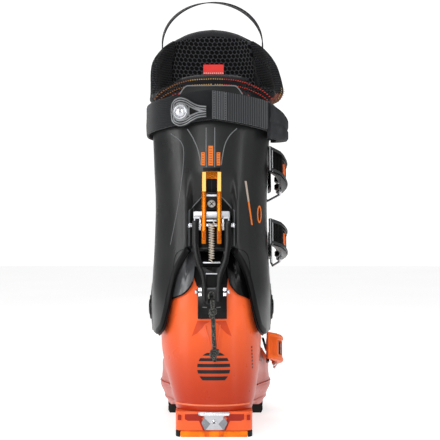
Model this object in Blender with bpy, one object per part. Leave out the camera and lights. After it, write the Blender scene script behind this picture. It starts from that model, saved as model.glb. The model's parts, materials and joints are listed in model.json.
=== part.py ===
"""Right ski-touring boot: lower shell, hinged cuff with a walk mechanism, liner, strap and buckles.

+X is the lateral side, +Y points to the toe, +Z up. The origin is the middle of the heel's
contact face. Values are in metres. Every shape hangs on the ankle axis and on a few sections.
"""

from math import asin, cos, hypot, pi, radians, sin, sqrt

import bmesh
import bpy
from mathutils import Matrix, Vector

MM = 0.001
GAP = 0.3 * MM  # clearance kept between pieces that touch

# Driving dimensions
HEEL_REAR = -36 * MM
HEEL_WIDTH = 71 * MM
LEG_X = -3 * MM  # middle of the lower leg, seen from behind
PIVOT_Y = 52 * MM  # ankle axis, which runs along X
PIVOT_Z = 115 * MM
ANKLE_R = 88 * MM  # the shell is a ball of this radius round the ankle axis
ANKLE_W = 50 * MM  # half its width
BALL_N = 2.4  # exponent of the ball's section
SHELL_WALL = 4 * MM
CUFF_WALL = 3.5 * MM
LINER_WALL = 9 * MM
FLOOR_Z = 30 * MM  # inside floor of the lower shell
SHELL_STEPS = 18  # columns on each side, from heel to toe
MECH_X = -2.2 * MM  # middle of the walk mechanism
AXLE_Y = -41.4 * MM
AXLE_Z = 195.1 * MM
AXLE_R = 1.8 * MM

COLOURS = {
    "orange_shell": ((0.76, 0.12, 0.035), 0.3, 0.0),
    "orange_lever": ((0.80, 0.13, 0.02), 0.35, 0.0),
    "amber_pad": ((0.85, 0.25, 0.01), 0.5, 0.0),
    "cuff_black": ((0.045, 0.047, 0.05), 0.38, 0.0),
    "gloss_black": ((0.02, 0.02, 0.022), 0.2, 0.0),
    "rubber_black": ((0.02, 0.02, 0.02), 0.8, 0.0),
    "liner_fabric": ((0.02, 0.02, 0.022), 0.9, 0.0),
    "webbing": ((0.05, 0.055, 0.06), 0.85, 0.0),
    "red_label": ((0.7, 0.03, 0.03), 0.7, 0.0),
    "silver": ((0.75, 0.76, 0.78), 0.3, 1.0),
    "gold": ((0.75, 0.27, 0.02), 0.28, 1.0),
    "cord_black": ((0.03, 0.03, 0.03), 0.9, 0.0),
}
materials = {}


def clear_scene():
    for obj in list(bpy.data.objects):
        bpy.data.objects.remove(obj, do_unlink=True)


def material(name):
    """One Principled material for each finish, made when it is first asked for."""
    if name not in materials:
        colour, roughness, metallic = COLOURS[name]
        made = bpy.data.materials.new(name)
        made.use_nodes = True
        shader = made.node_tree.nodes["Principled BSDF"]
        shader.inputs["Base Color"].default_value = (*colour, 1)
        shader.inputs["Roughness"].default_value = roughness
        shader.inputs["Metallic"].default_value = metallic
        made.diffuse_color = (*colour, 1)
        materials[name] = made
    return materials[name]


def table(pairs, at):
    """The value at a place, read off straight lines between the (place, value) pairs."""
    if at <= pairs[0][0]:
        return pairs[0][1]
    for (a, low), (b, high) in zip(pairs, pairs[1:]):
        if at <= b:
            return mix(low, high, (at - a) / (b - a))
    return pairs[-1][1]


def soft(t):
    t = min(max(t, 0.0), 1.0)
    return t * t * (3 - 2 * t)


def mix(a, b, t):
    return a + (b - a) * t


# Building


def add_object(name, points, faces, finish, origin=(0, 0, 0), smooth=35):
    """A closed mesh whose faces all point out, with its origin at a joint axis where it has one."""
    start = Vector(origin)
    mesh = bpy.data.meshes.new(name)
    mesh.from_pydata([Vector(p) - start for p in points], [], faces)
    shape = bmesh.new()
    shape.from_mesh(mesh)
    bmesh.ops.recalc_face_normals(shape, faces=shape.faces)
    if shape.calc_volume(signed=True) < 0:
        bmesh.ops.reverse_faces(shape, faces=shape.faces)
    shape.to_mesh(mesh)
    shape.free()
    mesh.materials.append(material(finish))
    obj = bpy.data.objects.new(name, mesh)
    obj.location = start
    bpy.context.scene.collection.objects.link(obj)
    mesh.shade_smooth()
    mesh.set_sharp_from_angle(angle=radians(smooth))
    return obj


def box(name, low, high, finish, origin=(0, 0, 0), bevel=0.0):
    points = [(x, y, z) for x in (low[0], high[0]) for y in (low[1], high[1]) for z in (low[2], high[2])]
    faces = [(0, 1, 3, 2), (4, 6, 7, 5), (0, 4, 5, 1), (2, 3, 7, 6), (0, 2, 6, 4), (1, 5, 7, 3)]
    obj = add_object(name, points, faces, finish, origin)
    if bevel:
        edge = obj.modifiers.new("edges", "BEVEL")
        edge.width = bevel
        edge.segments = 1
    return obj


def turned(name, start, end, profile, finish, sides=16, origin=(0, 0, 0)):
    """A turned solid: profile is (share of the length, radius) from start to end."""
    start, end = Vector(start), Vector(end)
    along = end - start
    across = along.orthogonal().normalized()
    other = along.normalized().cross(across)
    points, faces = [], []
    for share, radius in profile:
        for k in range(sides):
            turn = 2 * pi * k / sides
            points.append(start + along * share + (across * cos(turn) + other * sin(turn)) * radius)
    for row in range(len(profile) - 1):
        for k in range(sides):
            a, b = row * sides + k, row * sides + (k + 1) % sides
            faces.append((a, b, b + sides, a + sides))
    faces.append(tuple(range(sides)))
    faces.append(tuple(range(len(points) - sides, len(points))))
    return add_object(name, points, faces, finish, origin)


def rod(name, start, end, radius, finish, sides=12, origin=(0, 0, 0)):
    return turned(name, start, end, [(0, radius), (1, radius)], finish, sides, origin)


def cut(obj, cutter):
    cutter.hide_render = True
    cutter.display_type = "WIRE"
    hole = obj.modifiers.new("cut_" + cutter.name, "BOOLEAN")
    hole.operation = "DIFFERENCE"
    hole.solver = "EXACT"
    hole.object = cutter


def prism(name, outline, near, far, finish, origin=(0, 0, 0)):
    """A solid between two copies of an outline; near(p) and far(p) give each end's 3D point."""
    count = len(outline)
    points = [near(p) for p in outline] + [far(p) for p in outline]
    faces = [tuple(range(count)), tuple(range(count, 2 * count))]
    for k in range(count):
        nxt = (k + 1) % count
        faces.append((k, nxt, nxt + count, k + count))
    return add_object(name, points, faces, finish, origin)


def wall(name, outer, inner, columns, rows, finish, ring=True, floor=False, origin=(0, 0, 0)):
    """A wall between outer(u, t) and inner(u, t), with columns u and rows t from 0 to 1.

    ring joins the last column to the first; floor closes the bottom of both faces, so that the
    wall holds a foot as a cup does.
    """
    rows_t = [k / rows for k in range(rows + 1)]
    wide, tall = len(columns), rows + 1
    points = [outer(u, t) for t in rows_t for u in columns]
    points += [inner(u, t) for t in rows_t for u in columns]
    inside = wide * tall
    faces = []
    spans = range(wide) if ring else range(wide - 1)
    for k in spans:
        nxt = (k + 1) % wide
        for row in range(rows):
            a, b = row * wide + k, row * wide + nxt
            faces.append((a, b, b + wide, a + wide))
            faces.append((inside + b, inside + a, inside + a + wide, inside + b + wide))
        top = rows * wide
        faces.append((top + k, top + nxt, inside + top + nxt, inside + top + k))
        if not floor:
            faces.append((k, inside + k, inside + nxt, nxt))
    if floor:
        # Each crosswise strip joins a column to the one facing it, so that the floor may rise and fall.
        for start in (0, inside):
            for k in range(wide // 2):
                corners = [k, k + 1, wide - k - 1, (wide - k) % wide]
                faces.append(tuple(start + c for c in dict.fromkeys(corners)))
    if not ring:
        for edge in (0, wide - 1):
            for row in range(rows):
                a = row * wide + edge
                faces.append((a, a + wide, inside + a + wide, inside + a))
    return add_object(name, points, faces, finish, origin)


# Lower shell


def ball_x(radius_out, half_width, reach):
    """Half width of the ankle ball at a distance from the ankle axis."""
    share = min(radius_out / reach, 1.0)
    return half_width * (1 - share**BALL_N) ** (1 / BALL_N)


def rounded(t, power):
    t = min(max(t, 0.0), 1.0)
    return (1 - (1 - t) ** power) ** (1 / power)


FOOT_REAR = [(12, -34), (24, -36), (45, -37.5), (75, -37), (100, -36.3), (122, -35.7)]
FOOT_FRONT = [
    (12, 258), (24, 263), (40, 264), (52, 260), (62, 250), (72, 232),
    (82, 210), (92, 190), (102, 172), (112, 158), (122, 150),
]
SHELL_ROWS = [24, 40, 52, 62, 72, 82, 92, 102, 112, 122, 134, 146, 158]
HEEL_HALF = [(12, 34), (24, 36), (39, 40), (60, 45), (81, 48), (110, 49)]
FORE_HALF = [(12, 49), (24, 54), (40, 57.5), (52, 56), (65, 49), (78, 43), (95, 42), (122, 44)]
HEEL_ROUND = [(12, 34), (24, 40), (60, 66), (115, 88)]
TOE_ROUND = [(12, 92), (60, 96), (90, 110), (122, 95)]


def foot_point(side, s, z, inset):
    """The foot-shaped section at height z; s runs from the heel (0) to the toe (1)."""
    h = z / MM
    rear = table(FOOT_REAR, h) * MM + inset
    front = table(FOOT_FRONT, h) * MM - inset * 1.2
    y = rear + (front - rear) * (1 - cos(pi * s)) / 2
    fore = soft((y / MM - 45) / 100)
    half = mix(table(HEEL_HALF, h), table(FORE_HALF, h), fore) * MM - inset
    heel_cap = rounded((y - rear) / (table(HEEL_ROUND, h) * MM), 2.3)
    toe_cap = rounded((front - y) / (table(TOE_ROUND, h) * MM), 2.2)
    middle = mix(LEG_X * soft((h - 24) / 60), 0.8 * MM, fore)
    return Vector((middle + side * half * heel_cap * toe_cap, y, z))


def ankle_point(side, s, z, inset):
    """The ankle ball's section at height z."""
    reach = ANKLE_R - inset
    depth = sqrt(max(reach**2 - (z - PIVOT_Z) ** 2, 0.0))
    y = PIVOT_Y - depth * cos(pi * s)
    out = hypot(y - PIVOT_Y, z - PIVOT_Z)
    return Vector((LEG_X + side * ball_x(out, ANKLE_W - inset, reach), y, z))


def shell_point(side, s, z, inset=0.0):
    t = soft((z / MM - 98) / 24)
    if t <= 0:
        return foot_point(side, s, z, inset)
    return foot_point(side, s, z, inset).lerp(ankle_point(side, s, z, inset), t)


def both_sides(steps):
    """Columns all the way round: up the lateral side to the toe, and back on the medial side."""
    there = [(1, k / steps) for k in range(steps + 1)]
    back = [(-1, k / steps) for k in range(steps - 1, 0, -1)]
    return there + back


def shell_bottom(y):
    """The shell's underside: high at the heel and arch, lower over the forefoot sole."""
    return mix(24 * MM, 12.4 * MM, soft((y / MM - 62) / 50))


def row_height(t, first):
    """Rows at the section's own heights, so that every piece on the vamp bends where the shell does."""
    place = t * (len(SHELL_ROWS) - 1)
    row = min(int(place), len(SHELL_ROWS) - 2)
    return mix(first if row == 0 else SHELL_ROWS[row], SHELL_ROWS[row + 1], place - row) * MM


def lower_shell():
    def outer(u, t):
        low = shell_bottom(foot_point(*u, 24 * MM, 0).y)
        return shell_point(*u, row_height(t, low / MM))

    def inner(u, t):
        return shell_point(*u, row_height(t, FLOOR_Z / MM), SHELL_WALL)

    columns, rows = both_sides(SHELL_STEPS), len(SHELL_ROWS) - 1
    wall("lower_shell", outer, inner, columns, rows, "orange_shell", floor=True)


def liner_foot():
    def face(inset, floor):
        return lambda u, t: shell_point(*u, row_height(t, floor), inset)

    outer, inner = face(6 * MM, 36), face(10 * MM, 39)
    wall("liner_foot", outer, inner, both_sides(SHELL_STEPS), len(SHELL_ROWS) - 1, "liner_fabric", floor=True)


def boot_board():
    outline = [shell_point(*u, FLOOR_Z + 3 * MM, 6.5 * MM) for u in both_sides(SHELL_STEPS)]
    low, high = FLOOR_Z + GAP, FLOOR_Z + 5 * MM
    prism("boot_board", outline, lambda p: (p.x, p.y, low), lambda p: (p.x, p.y, high), "gloss_black")


def flap_point(column, t, off):
    side = 1 if column > 0 else -1
    return shell_point(side, 1 - abs(column) / SHELL_STEPS, mix(62, 112, t) * MM, -off)


def instep_flap():
    """The overlapping flap over the instep, standing just off the shell."""

    def face(off):
        return lambda u, t: flap_point(u, t, off)

    columns = range(-5, 6)
    wall("instep_flap", face(4.2 * MM), face(1.6 * MM), columns, 5, "orange_shell", ring=False)


# Soles and inserts

SOLE_LUG = 5.7 * MM


def soles():
    half = HEEL_WIDTH / 2
    pad = 31 * MM
    notch_front = -12 * MM
    front = 42 * MM
    corner = 9 * MM

    def heel_outline(grow):
        arc = []
        for side in (1, -1):
            points = []
            for k in range(5):
                turn, round_r = radians(90 * k / 4), corner + grow
                x = side * (half - corner + round_r * cos(turn))
                points.append((x, HEEL_REAR + corner - round_r * sin(turn)))
            arc.append(points)
        return [(half + grow, front), *arc[0], *reversed(arc[1]), (-half - grow, front)]

    prism(
        "heel_block", heel_outline(0), lambda p: (*p, SOLE_LUG + GAP), lambda p: (*p, 24 * MM - GAP),
        "orange_shell",
    )
    sole = prism("heel_sole", heel_outline(0), lambda p: (*p, 0), lambda p: (*p, SOLE_LUG), "rubber_black")
    notch = box(
        "heel_notch", (-pad - GAP, HEEL_REAR - 2 * MM, -MM), (pad + GAP, notch_front + GAP, SOLE_LUG + MM),
        "rubber_black",
    )
    cut(sole, notch)
    box("heel_pad", (-pad, HEEL_REAR, 0), (pad, notch_front, SOLE_LUG), "amber_pad", bevel=0.8 * MM)

    def toe_outline(inset):
        ring = [foot_point(*u, 12 * MM, inset) for u in both_sides(SHELL_STEPS)]
        kept = [p for p in ring if p.y > 118 * MM]
        lateral = [p for p in kept if p.x > 0]
        medial = [p for p in kept if p.x <= 0]
        return lateral + medial

    toe = toe_outline(0)
    top = 12.4 * MM - GAP
    prism("toe_sole", toe, lambda p: (p.x, p.y, 0), lambda p: (p.x, p.y, top), "rubber_black")
    toe_y = max(p.y for p in toe) + GAP
    box(
        "toe_tech_insert", (-17 * MM, toe_y, 3 * MM), (19 * MM, toe_y + 2.4 * MM, 11 * MM), "silver",
        bevel=0.6 * MM,
    )


def heel_insert():
    """Metal heel fitting: a hexagonal body under a narrow top plate, held by one screw."""
    face = HEEL_REAR - GAP
    thick = 2.2 * MM
    outline = [
        (-14.5, 23.4), (14.5, 23.4), (14.5, 20.6), (9, 19.6), (8.5, 17.5), (11.3, 15), (8, 7),
        (-8, 7), (-11.3, 15), (-8.5, 17.5), (-9, 19.6), (-14.5, 20.6),
    ]
    prism(
        "heel_tech_insert", outline, lambda p: (p[0] * MM, face, p[1] * MM),
        lambda p: (p[0] * MM, face - thick, p[1] * MM), "silver",
    )
    head = face - thick - GAP
    rod("heel_insert_screw", (0, head, 14 * MM), (0, head - 1.4 * MM, 14 * MM), 2.6 * MM, "silver")


# Cuff

# (height, value) in mm
CUFF_REAR = [
    (93, -41), (115, -42), (135, -40), (155, -37.5), (173, -36.5), (200, -34), (250, -27), (300, -16),
    (330, -8),
]
CUFF_FRONT = [
    (93, 146), (115, 146.5), (135, 145), (150, 140), (167, 131), (200, 119), (250, 112), (300, 106),
    (330, 105),
]
CUFF_HALF = [(93, 57), (125, 58), (150, 56.8), (170, 55.6), (215, 54.2), (250, 55.5), (300, 57), (330, 57)]
# (angle from the rear in degrees, height in mm) of the lower edge
CUFF_BOTTOM = [
    (0, 173), (16, 173), (24, 164), (32, 150), (43, 114), (52, 98), (64, 92.5), (90, 99), (135, 142),
    (180, 167),
]
CUFF_ANGLES = [0, 9, 14, 21, 28, 35, 43, 52, 64, 77, 90, 105, 120, 135, 150, 165, 180]


def cuff_section(a, z, inset=0.0, recess=True):
    """A point on the cuff's section: a is the angle in degrees from the rear, positive laterally."""
    h = z / MM
    rear = table(CUFF_REAR, h) * MM + inset
    front = table(CUFF_FRONT, h) * MM - inset
    middle = mix(PIVOT_Y, 46 * MM, soft((h - 173) / 120))
    turn = radians(a)
    side = 1 if a >= 0 else -1
    across = abs(sin(turn)) ** (2 / BALL_N) * side
    along = abs(cos(turn)) ** (2 / BALL_N)
    half = table(CUFF_HALF, h) * MM - inset
    x = LEG_X + across * half
    y = middle - along * (middle - rear) if abs(a) <= 90 else middle + along * (front - middle)
    if recess and abs(a) < 60:
        off = abs(x - MECH_X) / MM
        y += 7 * MM * soft((23 - off) / 6) * soft((250 - h) / 40)
    return Vector((x, y, z))


def all_round(angles):
    return [*angles, *(-a for a in reversed(angles[1:-1]))]


def cuff_shell():
    def top(a):
        return mix(288, 302, (1 + cos(radians(a))) / 2) * MM

    def height(a, t):
        return mix(table(CUFF_BOTTOM, abs(a)) * MM, top(a), t)

    def outer(a, t):
        return cuff_section(a, height(a, t))

    def inner(a, t):
        return cuff_section(a, height(a, t), CUFF_WALL)

    wall("cuff_shell", outer, inner, all_round(CUFF_ANGLES), 9, "cuff_black")


# (off the middle, height of the lower edge) in mm; the middle stays clear of the lock block.
SKIRT_LOW = [(0, 157), (15.1, 157), (15.9, 146), (20, 137), (26, 131), (31.5, 128.5), (36, 126.5)]


def cuff_rear_skirt():
    """Thin panels that close the arch under the cuff, sliding just off the ankle ball."""

    def face(half, reach):
        def at(x, t):
            off = abs(x - LEG_X) / MM
            low = table(SKIRT_LOW, off)
            z = mix(low, mix(171, 150, soft(off / 36)), t) * MM
            spread = (1 - (off * MM / half) ** BALL_N) ** (1 / BALL_N) * reach
            return Vector((x, PIVOT_Y - sqrt(spread**2 - (z - PIVOT_Z) ** 2), z))

        return at

    half = [8, 15.1, 15.9, 20, 26, 31.5, 36]
    columns = [LEG_X + off * MM for off in [*(-x for x in reversed(half)), 0, *half]]
    outer = face(ANKLE_W + 1.5 * MM, ANKLE_R + 2.1 * MM)
    inner = face(ANKLE_W + 0.5 * MM, ANKLE_R + 0.7 * MM)
    wall("cuff_rear_skirt", outer, inner, columns, 3, "gloss_black", ring=False)


def rear_spoiler():
    def height(a, t):
        return mix(272, table([(0, 327), (24, 327), (34, 312), (44, 300)], abs(a)), t) * MM

    def face(inset):
        return lambda a, t: cuff_section(a, height(a, t), inset, recess=False)

    columns = [-44, -34, -24, -12, 0, 12, 24, 34, 44]
    start = CUFF_WALL + GAP
    wall("rear_spoiler", face(start), face(start + 2.4 * MM), columns, 5, "cuff_black", ring=False)


def pivot_caps():
    for side, name in ((1, "pivot_bolt_lateral"), (-1, "pivot_bolt_medial")):
        start = LEG_X + side * (58.2 * MM + GAP)
        profile = [(0, 12 * MM), (0.6, 11 * MM), (1, 8 * MM)]
        at = (PIVOT_Y, PIVOT_Z)
        turned(name, (start, *at), (start + side * 2.6 * MM, *at), profile, "gloss_black", 20)


# Walk mechanism


def plate(name, outline, y_of, thick, finish, origin=(0, 0, 0)):
    """A bent plate: the outline is (across, height) in mm, and y_of gives its inner face."""

    def near(p):
        return Vector((MECH_X + p[0] * MM, y_of(p[1]) * MM, p[1] * MM))

    return prism(name, outline, near, lambda p: near(p) - Vector((0, thick, 0)), finish, origin)


def lean_fork():
    """The anodised fork: a bent plate with two arms under one crosspiece."""

    def y_of(z):
        return table([(178, -45.6), (189, -45.6), (227, -35.5), (245, -28.8)], z)

    across, heights = (-9, -5, 5, 9), (178, 189, 227, 238, 245)
    wide, tall = len(across), len(heights)
    points = [
        (MECH_X + x * MM, (y_of(z) - thick) * MM, z * MM) for thick in (0, 3) for z in heights for x in across
    ]
    faces = []

    def filled(column, row):
        inside = 0 <= column < wide - 1 and 0 <= row < tall - 1
        return inside and (column != 1 or row == tall - 2)

    def at(layer, column, row):
        return layer * wide * tall + row * wide + column

    for column in range(wide - 1):
        for row in range(tall - 1):
            if not filled(column, row):
                continue
            ring = [(column, row), (column + 1, row), (column + 1, row + 1), (column, row + 1)]
            faces += [tuple(at(layer, *c) for c in ring) for layer in (0, 1)]
            beside = [(column, row - 1), (column + 1, row), (column, row + 1), (column - 1, row)]
            for k, other in enumerate(beside):
                if not filled(*other):
                    first, last = ring[k], ring[(k + 1) % 4]
                    faces.append((at(0, *first), at(0, *last), at(1, *last), at(1, *first)))
    used = sorted({k for face in faces for k in face})
    index = {k: n for n, k in enumerate(used)}
    faces = [tuple(index[k] for k in face) for face in faces]
    add_object("lean_fork", [points[k] for k in used], faces, "gold")


def lever_pivot():
    return (MECH_X, AXLE_Y, AXLE_Z)


def lock_bar():
    def y_of(z):
        return table([(121, -46.6), (200, -37.6)], z)

    right = [(18, 199.5), (18, 178), (15, 161), (10, 149), (8, 139), (8, 125), (5, 121)]
    notch = [(7, 157), (8.5, 160), (11.6, 175), (11.6, 199.5)]
    outline = [*right, *((-x, z) for x, z in reversed(right)), *((-x, z) for x, z in reversed(notch)), *notch]
    bar = plate("lock_bar", outline, y_of, 6.4 * MM, "gloss_black", lever_pivot())
    window = box(
        "bar_window", (MECH_X - 4.6 * MM, -60 * MM, 139 * MM), (MECH_X + 4.6 * MM, -35 * MM, 150 * MM),
        "gloss_black",
    )
    eye = box(
        "bar_eye", (MECH_X - 2.6 * MM, -60 * MM, 125 * MM), (MECH_X + 2.6 * MM, -35 * MM, 131 * MM),
        "gloss_black",
    )
    bore = rod(
        "bar_bore", (MECH_X - 30 * MM, AXLE_Y, AXLE_Z), (MECH_X + 30 * MM, AXLE_Y, AXLE_Z),
        AXLE_R + GAP, "gloss_black",
    )
    for cutter in (window, eye, bore):
        cut(bar, cutter)


def mechanism():
    x, y, z = lever_pivot()
    rod("main_axle", (x - 19.5 * MM, y, z), (x + 19.5 * MM, y, z), AXLE_R, "silver")
    # The bracket is a bar with two lugs below it, which carry the axle beside the fork.
    half, low, high = 16.8 * MM, 201 * MM, 208 * MM
    box("axle_bracket", (x - half, -38.2 * MM, low), (x + half, -27.2 * MM, high), "silver", bevel=0.8 * MM)
    for side, name in ((-1, "axle_lug_medial"), (1, "axle_lug_lateral")):
        near, far = sorted((x + side * 9.5 * MM, x + side * 11.2 * MM))
        lug = box(name, (near, -44.2 * MM, 190.5 * MM), (far, -30 * MM, low - GAP), "silver")
        cut(lug, rod(name + "_bore", (near - MM, y, z), (far + MM, y, z), AXLE_R + GAP, "silver"))
    spring_y = -46.7 * MM
    pivot = lever_pivot()
    bar_r = 0.9 * MM
    for name, half, height in (("spring_upper_bar", 4.6, 199.4), ("spring_lower_bar", 8, 161)):
        ends = [(x + side * half * MM, spring_y, height * MM) for side in (-1, 1)]
        rod(name, *ends, bar_r, "silver", 10, pivot)
    ends = [(x, spring_y, height * MM) for height in (162.3, 198.1)]
    rod("return_spring", *ends, 2.9 * MM, "silver", 12, pivot)

    def lean_y(height):
        return table([(204, -29.2), (226, -31.6)], height)

    thick = 3.4 * MM
    plate("lean_plate", [(4.6, 209), (4.6, 226), (-4.6, 226), (-4.6, 209)], lean_y, thick, "gloss_black")
    head = lean_y(215) * MM - thick - 0.6 * MM
    rod("lean_screw", (x, head, 215 * MM), (x, head - 1.3 * MM, 215 * MM), 3.7 * MM, "silver", 16)


def lock_block():
    """The block on the heel that the lock bar hooks on to: arcs round the ankle axis.

    Its foot sits on the shell, and the rear skirt slides in the slot above the foot.
    """
    foot, slot, outer = ANKLE_R + 0.4 * MM, ANKLE_R + 2.5 * MM, ANKLE_R + 9 * MM
    low, step, high = 109.5 * MM, 122 * MM, 141 * MM

    def arc(radius, first, last, steps=5):
        first, last = asin((first - PIVOT_Z) / radius), asin((last - PIVOT_Z) / radius)
        angles = [mix(first, last, k / steps) for k in range(steps + 1)]
        return [(PIVOT_Y - radius * cos(a), PIVOT_Z + radius * sin(a)) for a in angles]

    inner = [*arc(foot, low, step, 3), *arc(slot, step, high, 3)]
    outline = [*arc(outer, low, high), *reversed(inner)]
    left, right = MECH_X - 12.6 * MM, MECH_X + 14 * MM
    prism("lock_block", outline, lambda p: (left, *p), lambda p: (right, *p), "gloss_black")
    y = PIVOT_Y - (ANKLE_R + 5 * MM)
    for side, edge, name in ((-1, left, "lock_pin_medial"), (1, right, "lock_pin_lateral")):
        start = edge + side * GAP
        rod(name, (start, y, 134 * MM), (start + side * 2.4 * MM, y, 134 * MM), 2.2 * MM, "silver")


def pull_cord():
    """The release cord, which hangs from the lock bar's eye, with a knot near each end."""
    route = [
        (-1.3, -55.4, 127), (-1.2, -56.0, 121), (-0.9, -55.6, 112), (-0.3, -53.5, 98), (0.3, -52, 84),
        (0.5, -51.5, 71),
    ]
    knots = ((116, 5, 4.0), (79, 4.5, 4.6))
    steps = 24
    sides = 8
    points, faces = [], []
    for k in range(steps + 1):
        place = k / steps * (len(route) - 1)
        low = min(int(place), len(route) - 2)
        centre = Vector(route[low]).lerp(Vector(route[low + 1]), place - low) * MM
        radius = 2.0
        for height, half, wide in knots:
            off = abs(centre.z / MM - height) / half
            if off < 1:
                radius = max(radius, wide * sqrt(1 - off * off))
        for j in range(sides):
            turn = 2 * pi * j / sides
            points.append(centre + Vector((cos(turn), sin(turn), 0)) * radius * MM)
    for k in range(steps):
        for j in range(sides):
            a, b = k * sides + j, k * sides + (j + 1) % sides
            faces.append((a, b, b + sides, a + sides))
    faces.append(tuple(range(sides)))
    faces.append(tuple(range(steps * sides, (steps + 1) * sides)))
    add_object("pull_cord", points, faces, "cord_black", lever_pivot())


# Liner, strap and loop

# (height, value) in mm
LINER_HALF = [
    (296, 52), (306, 54), (315, 58), (325, 65.5), (344, 63.5), (360, 60.5), (368, 58), (378, 55),
    (386, 49.5), (394, 44),
]
LINER_REAR = [(296, -7), (326, -1), (340, 3), (400, 14)]
LINER_FRONT = [(296, 101), (300, 101), (330, 106), (360, 112), (400, 116)]
LINER_MIDDLE = [(296, -3), (312, -1), (325, 2.6), (344, 0.6), (360, -1), (395, -2)]
LINER_N = 2.3
LINER_ROOM = CUFF_WALL + 2.2 * MM  # from the cuff's outside to the liner's
SPOILER_ROOM = 2.6 * MM  # more, behind the spoiler


def liner_flare(a, z, inset):
    """The padded top, which swells out above the cuff."""
    h = z / MM
    middle = 46 * MM
    rear, front = table(LINER_REAR, h) * MM + inset, table(LINER_FRONT, h) * MM - inset
    turn = radians(a)
    side = 1 if a >= 0 else -1
    half = table(LINER_HALF, h) * MM - inset
    x = table(LINER_MIDDLE, h) * MM + side * abs(sin(turn)) ** (2 / LINER_N) * half
    along = abs(cos(turn)) ** (2 / LINER_N)
    y = middle - along * (middle - rear) if abs(a) <= 90 else middle + along * (front - middle)
    return Vector((x, y, z))


def liner_section(a, z, inset=0.0):
    h = z / MM
    room = LINER_ROOM + inset
    room += SPOILER_ROOM * soft((h - 255) / 15) * soft((62 - abs(a)) / 14)
    low = cuff_section(a, z, room)
    start = mix(326, 307, soft((abs(a) - 46) / 16))
    return low.lerp(liner_flare(a, z, inset), soft((h - start) / 16))


# (angle from the rear in degrees, height in mm)
COLLAR_TOP = [(0, 338), (40, 333), (62, 323), (80, 335), (96, 358), (112, 370), (130, 380)]
TONGUE_TOP = [(133, 381), (150, 389), (165, 392.5), (180, 394)]


def liner():
    def band(tops, inset):
        def at(a, t):
            return liner_section(a, mix(183 * MM, table(tops, abs(a)) * MM, t), inset)

        return at

    half = [0, 9, 14, 21, 28, 35, 43, 52, 64, 77, 90, 105, 118, 130]
    columns = [*(-a for a in reversed(half[1:])), *half]
    outer, inner = band(COLLAR_TOP, 0), band(COLLAR_TOP, LINER_WALL)
    wall("liner_collar", outer, inner, columns, 11, "liner_fabric", ring=False)
    tongue = [134, 145, 157, 169, 180, -169, -157, -145, -134]
    outer, inner = band(TONGUE_TOP, 0), band(TONGUE_TOP, LINER_WALL)
    wall("liner_tongue", outer, inner, tongue, 10, "liner_fabric", ring=False)
    edge = liner_section(0, 338 * MM).y + 3 * MM
    box("liner_label", (-10.3 * MM, edge, 338 * MM + GAP), (9 * MM, edge + 1.1 * MM, 347.5 * MM), "red_label")


def pull_loop():
    """The webbing loop over the liner's top, a half ellipse from side to side."""
    middle, half = -2 * MM, 50.5 * MM
    foot, rise = 375 * MM, 38 * MM
    y, width, thick = 78 * MM, 10 * MM, 1.1 * MM

    def outer(turn, t):
        return Vector((middle - half * cos(turn), y + (t - 0.5) * width, foot + rise * sin(turn)))

    def inner(turn, t):
        low = Vector((middle - (half - thick) * cos(turn), 0, foot + (rise - thick) * sin(turn)))
        return Vector((low.x, y + (t - 0.5) * width, low.z))

    columns = [pi * k / 20 for k in range(21)]
    wall("pull_loop", outer, inner, columns, 1, "webbing", ring=False)


def strap_section(a, z, off):
    """The strap's course: a little outside the cuff at one height, so that it doesn't flare."""
    p = cuff_section(a, 284 * MM, -off, recess=False)
    return Vector((p.x, p.y, z))


WEBBING_TALL = 26 * MM
TAB_Z = 300.5 * MM
RIVET_ANGLE = -21.6
# (angle from the rear in degrees, value in mm)
TAB_HALF = [(-31.5, 3), (-29.5, 8.5), (-26, 12.5), (-21.6, 14), (-17, 12.8), (-12, 9.3), (-7, 6.5), (-2, 5.5)]
KEEPER_OUT = [(54, 10.5), (66, 13.5), (78, 17), (92, 18.5), (104, 16.5), (114, 12)]
KEEPER_TOP = [(54, 311), (66, 306), (92, 297), (114, 297)]
KEEPER_LOW = 277


def power_strap():
    def heights(a, t):
        low = table([(0, 293), (50, 285), (100, 280), (180, 276)], abs(a))
        return mix(low, low + 28, t) * MM

    def face(off):
        return lambda a, t: strap_section(a, heights(a, t), off)

    wall("power_strap", face(6.2 * MM), face(3.8 * MM), all_round(CUFF_ANGLES[::2]), 2, "webbing")

    def tab_face(off):
        def at(a, t):
            return strap_section(a, TAB_Z + (t - 0.5) * 2 * table(TAB_HALF, a) * MM, off)

        return at

    tab = [a for a, half in TAB_HALF]
    wall("strap_tab", tab_face(8.8 * MM), tab_face(6.5 * MM), tab, 1, "rubber_black", ring=False)
    centre = strap_section(RIVET_ANGLE, TAB_Z, 9.1 * MM)
    out = (strap_section(RIVET_ANGLE, TAB_Z, 12 * MM) - centre).normalized()
    head = [(0, 7 * MM), (0.6, 7 * MM), (1, 5 * MM)]
    turned("strap_rivet", centre, centre + out * 2.4 * MM, head, "silver", 20)

    def web_face(off):
        return lambda a, t: strap_section(a, heights(a, 0.5) + (t - 0.5) * WEBBING_TALL, off)

    web = [0.6, 9, 18, 27, 36, 44, 52]
    wall("strap_webbing", web_face(9.2 * MM), web_face(6.6 * MM), web, 1, "webbing", ring=False)

    def keeper_face(stands):
        def at(a, t):
            off = table(KEEPER_OUT, a) if stands else 6.6
            return strap_section(a, mix(KEEPER_LOW, table(KEEPER_TOP, a), t) * MM, off * MM)

        return at

    keeper = [54, 62, 70, 78, 86, 94, 104, 114]
    wall("strap_keeper", keeper_face(True), keeper_face(False), keeper, 1, "gloss_black", ring=False)


# Buckles

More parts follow.
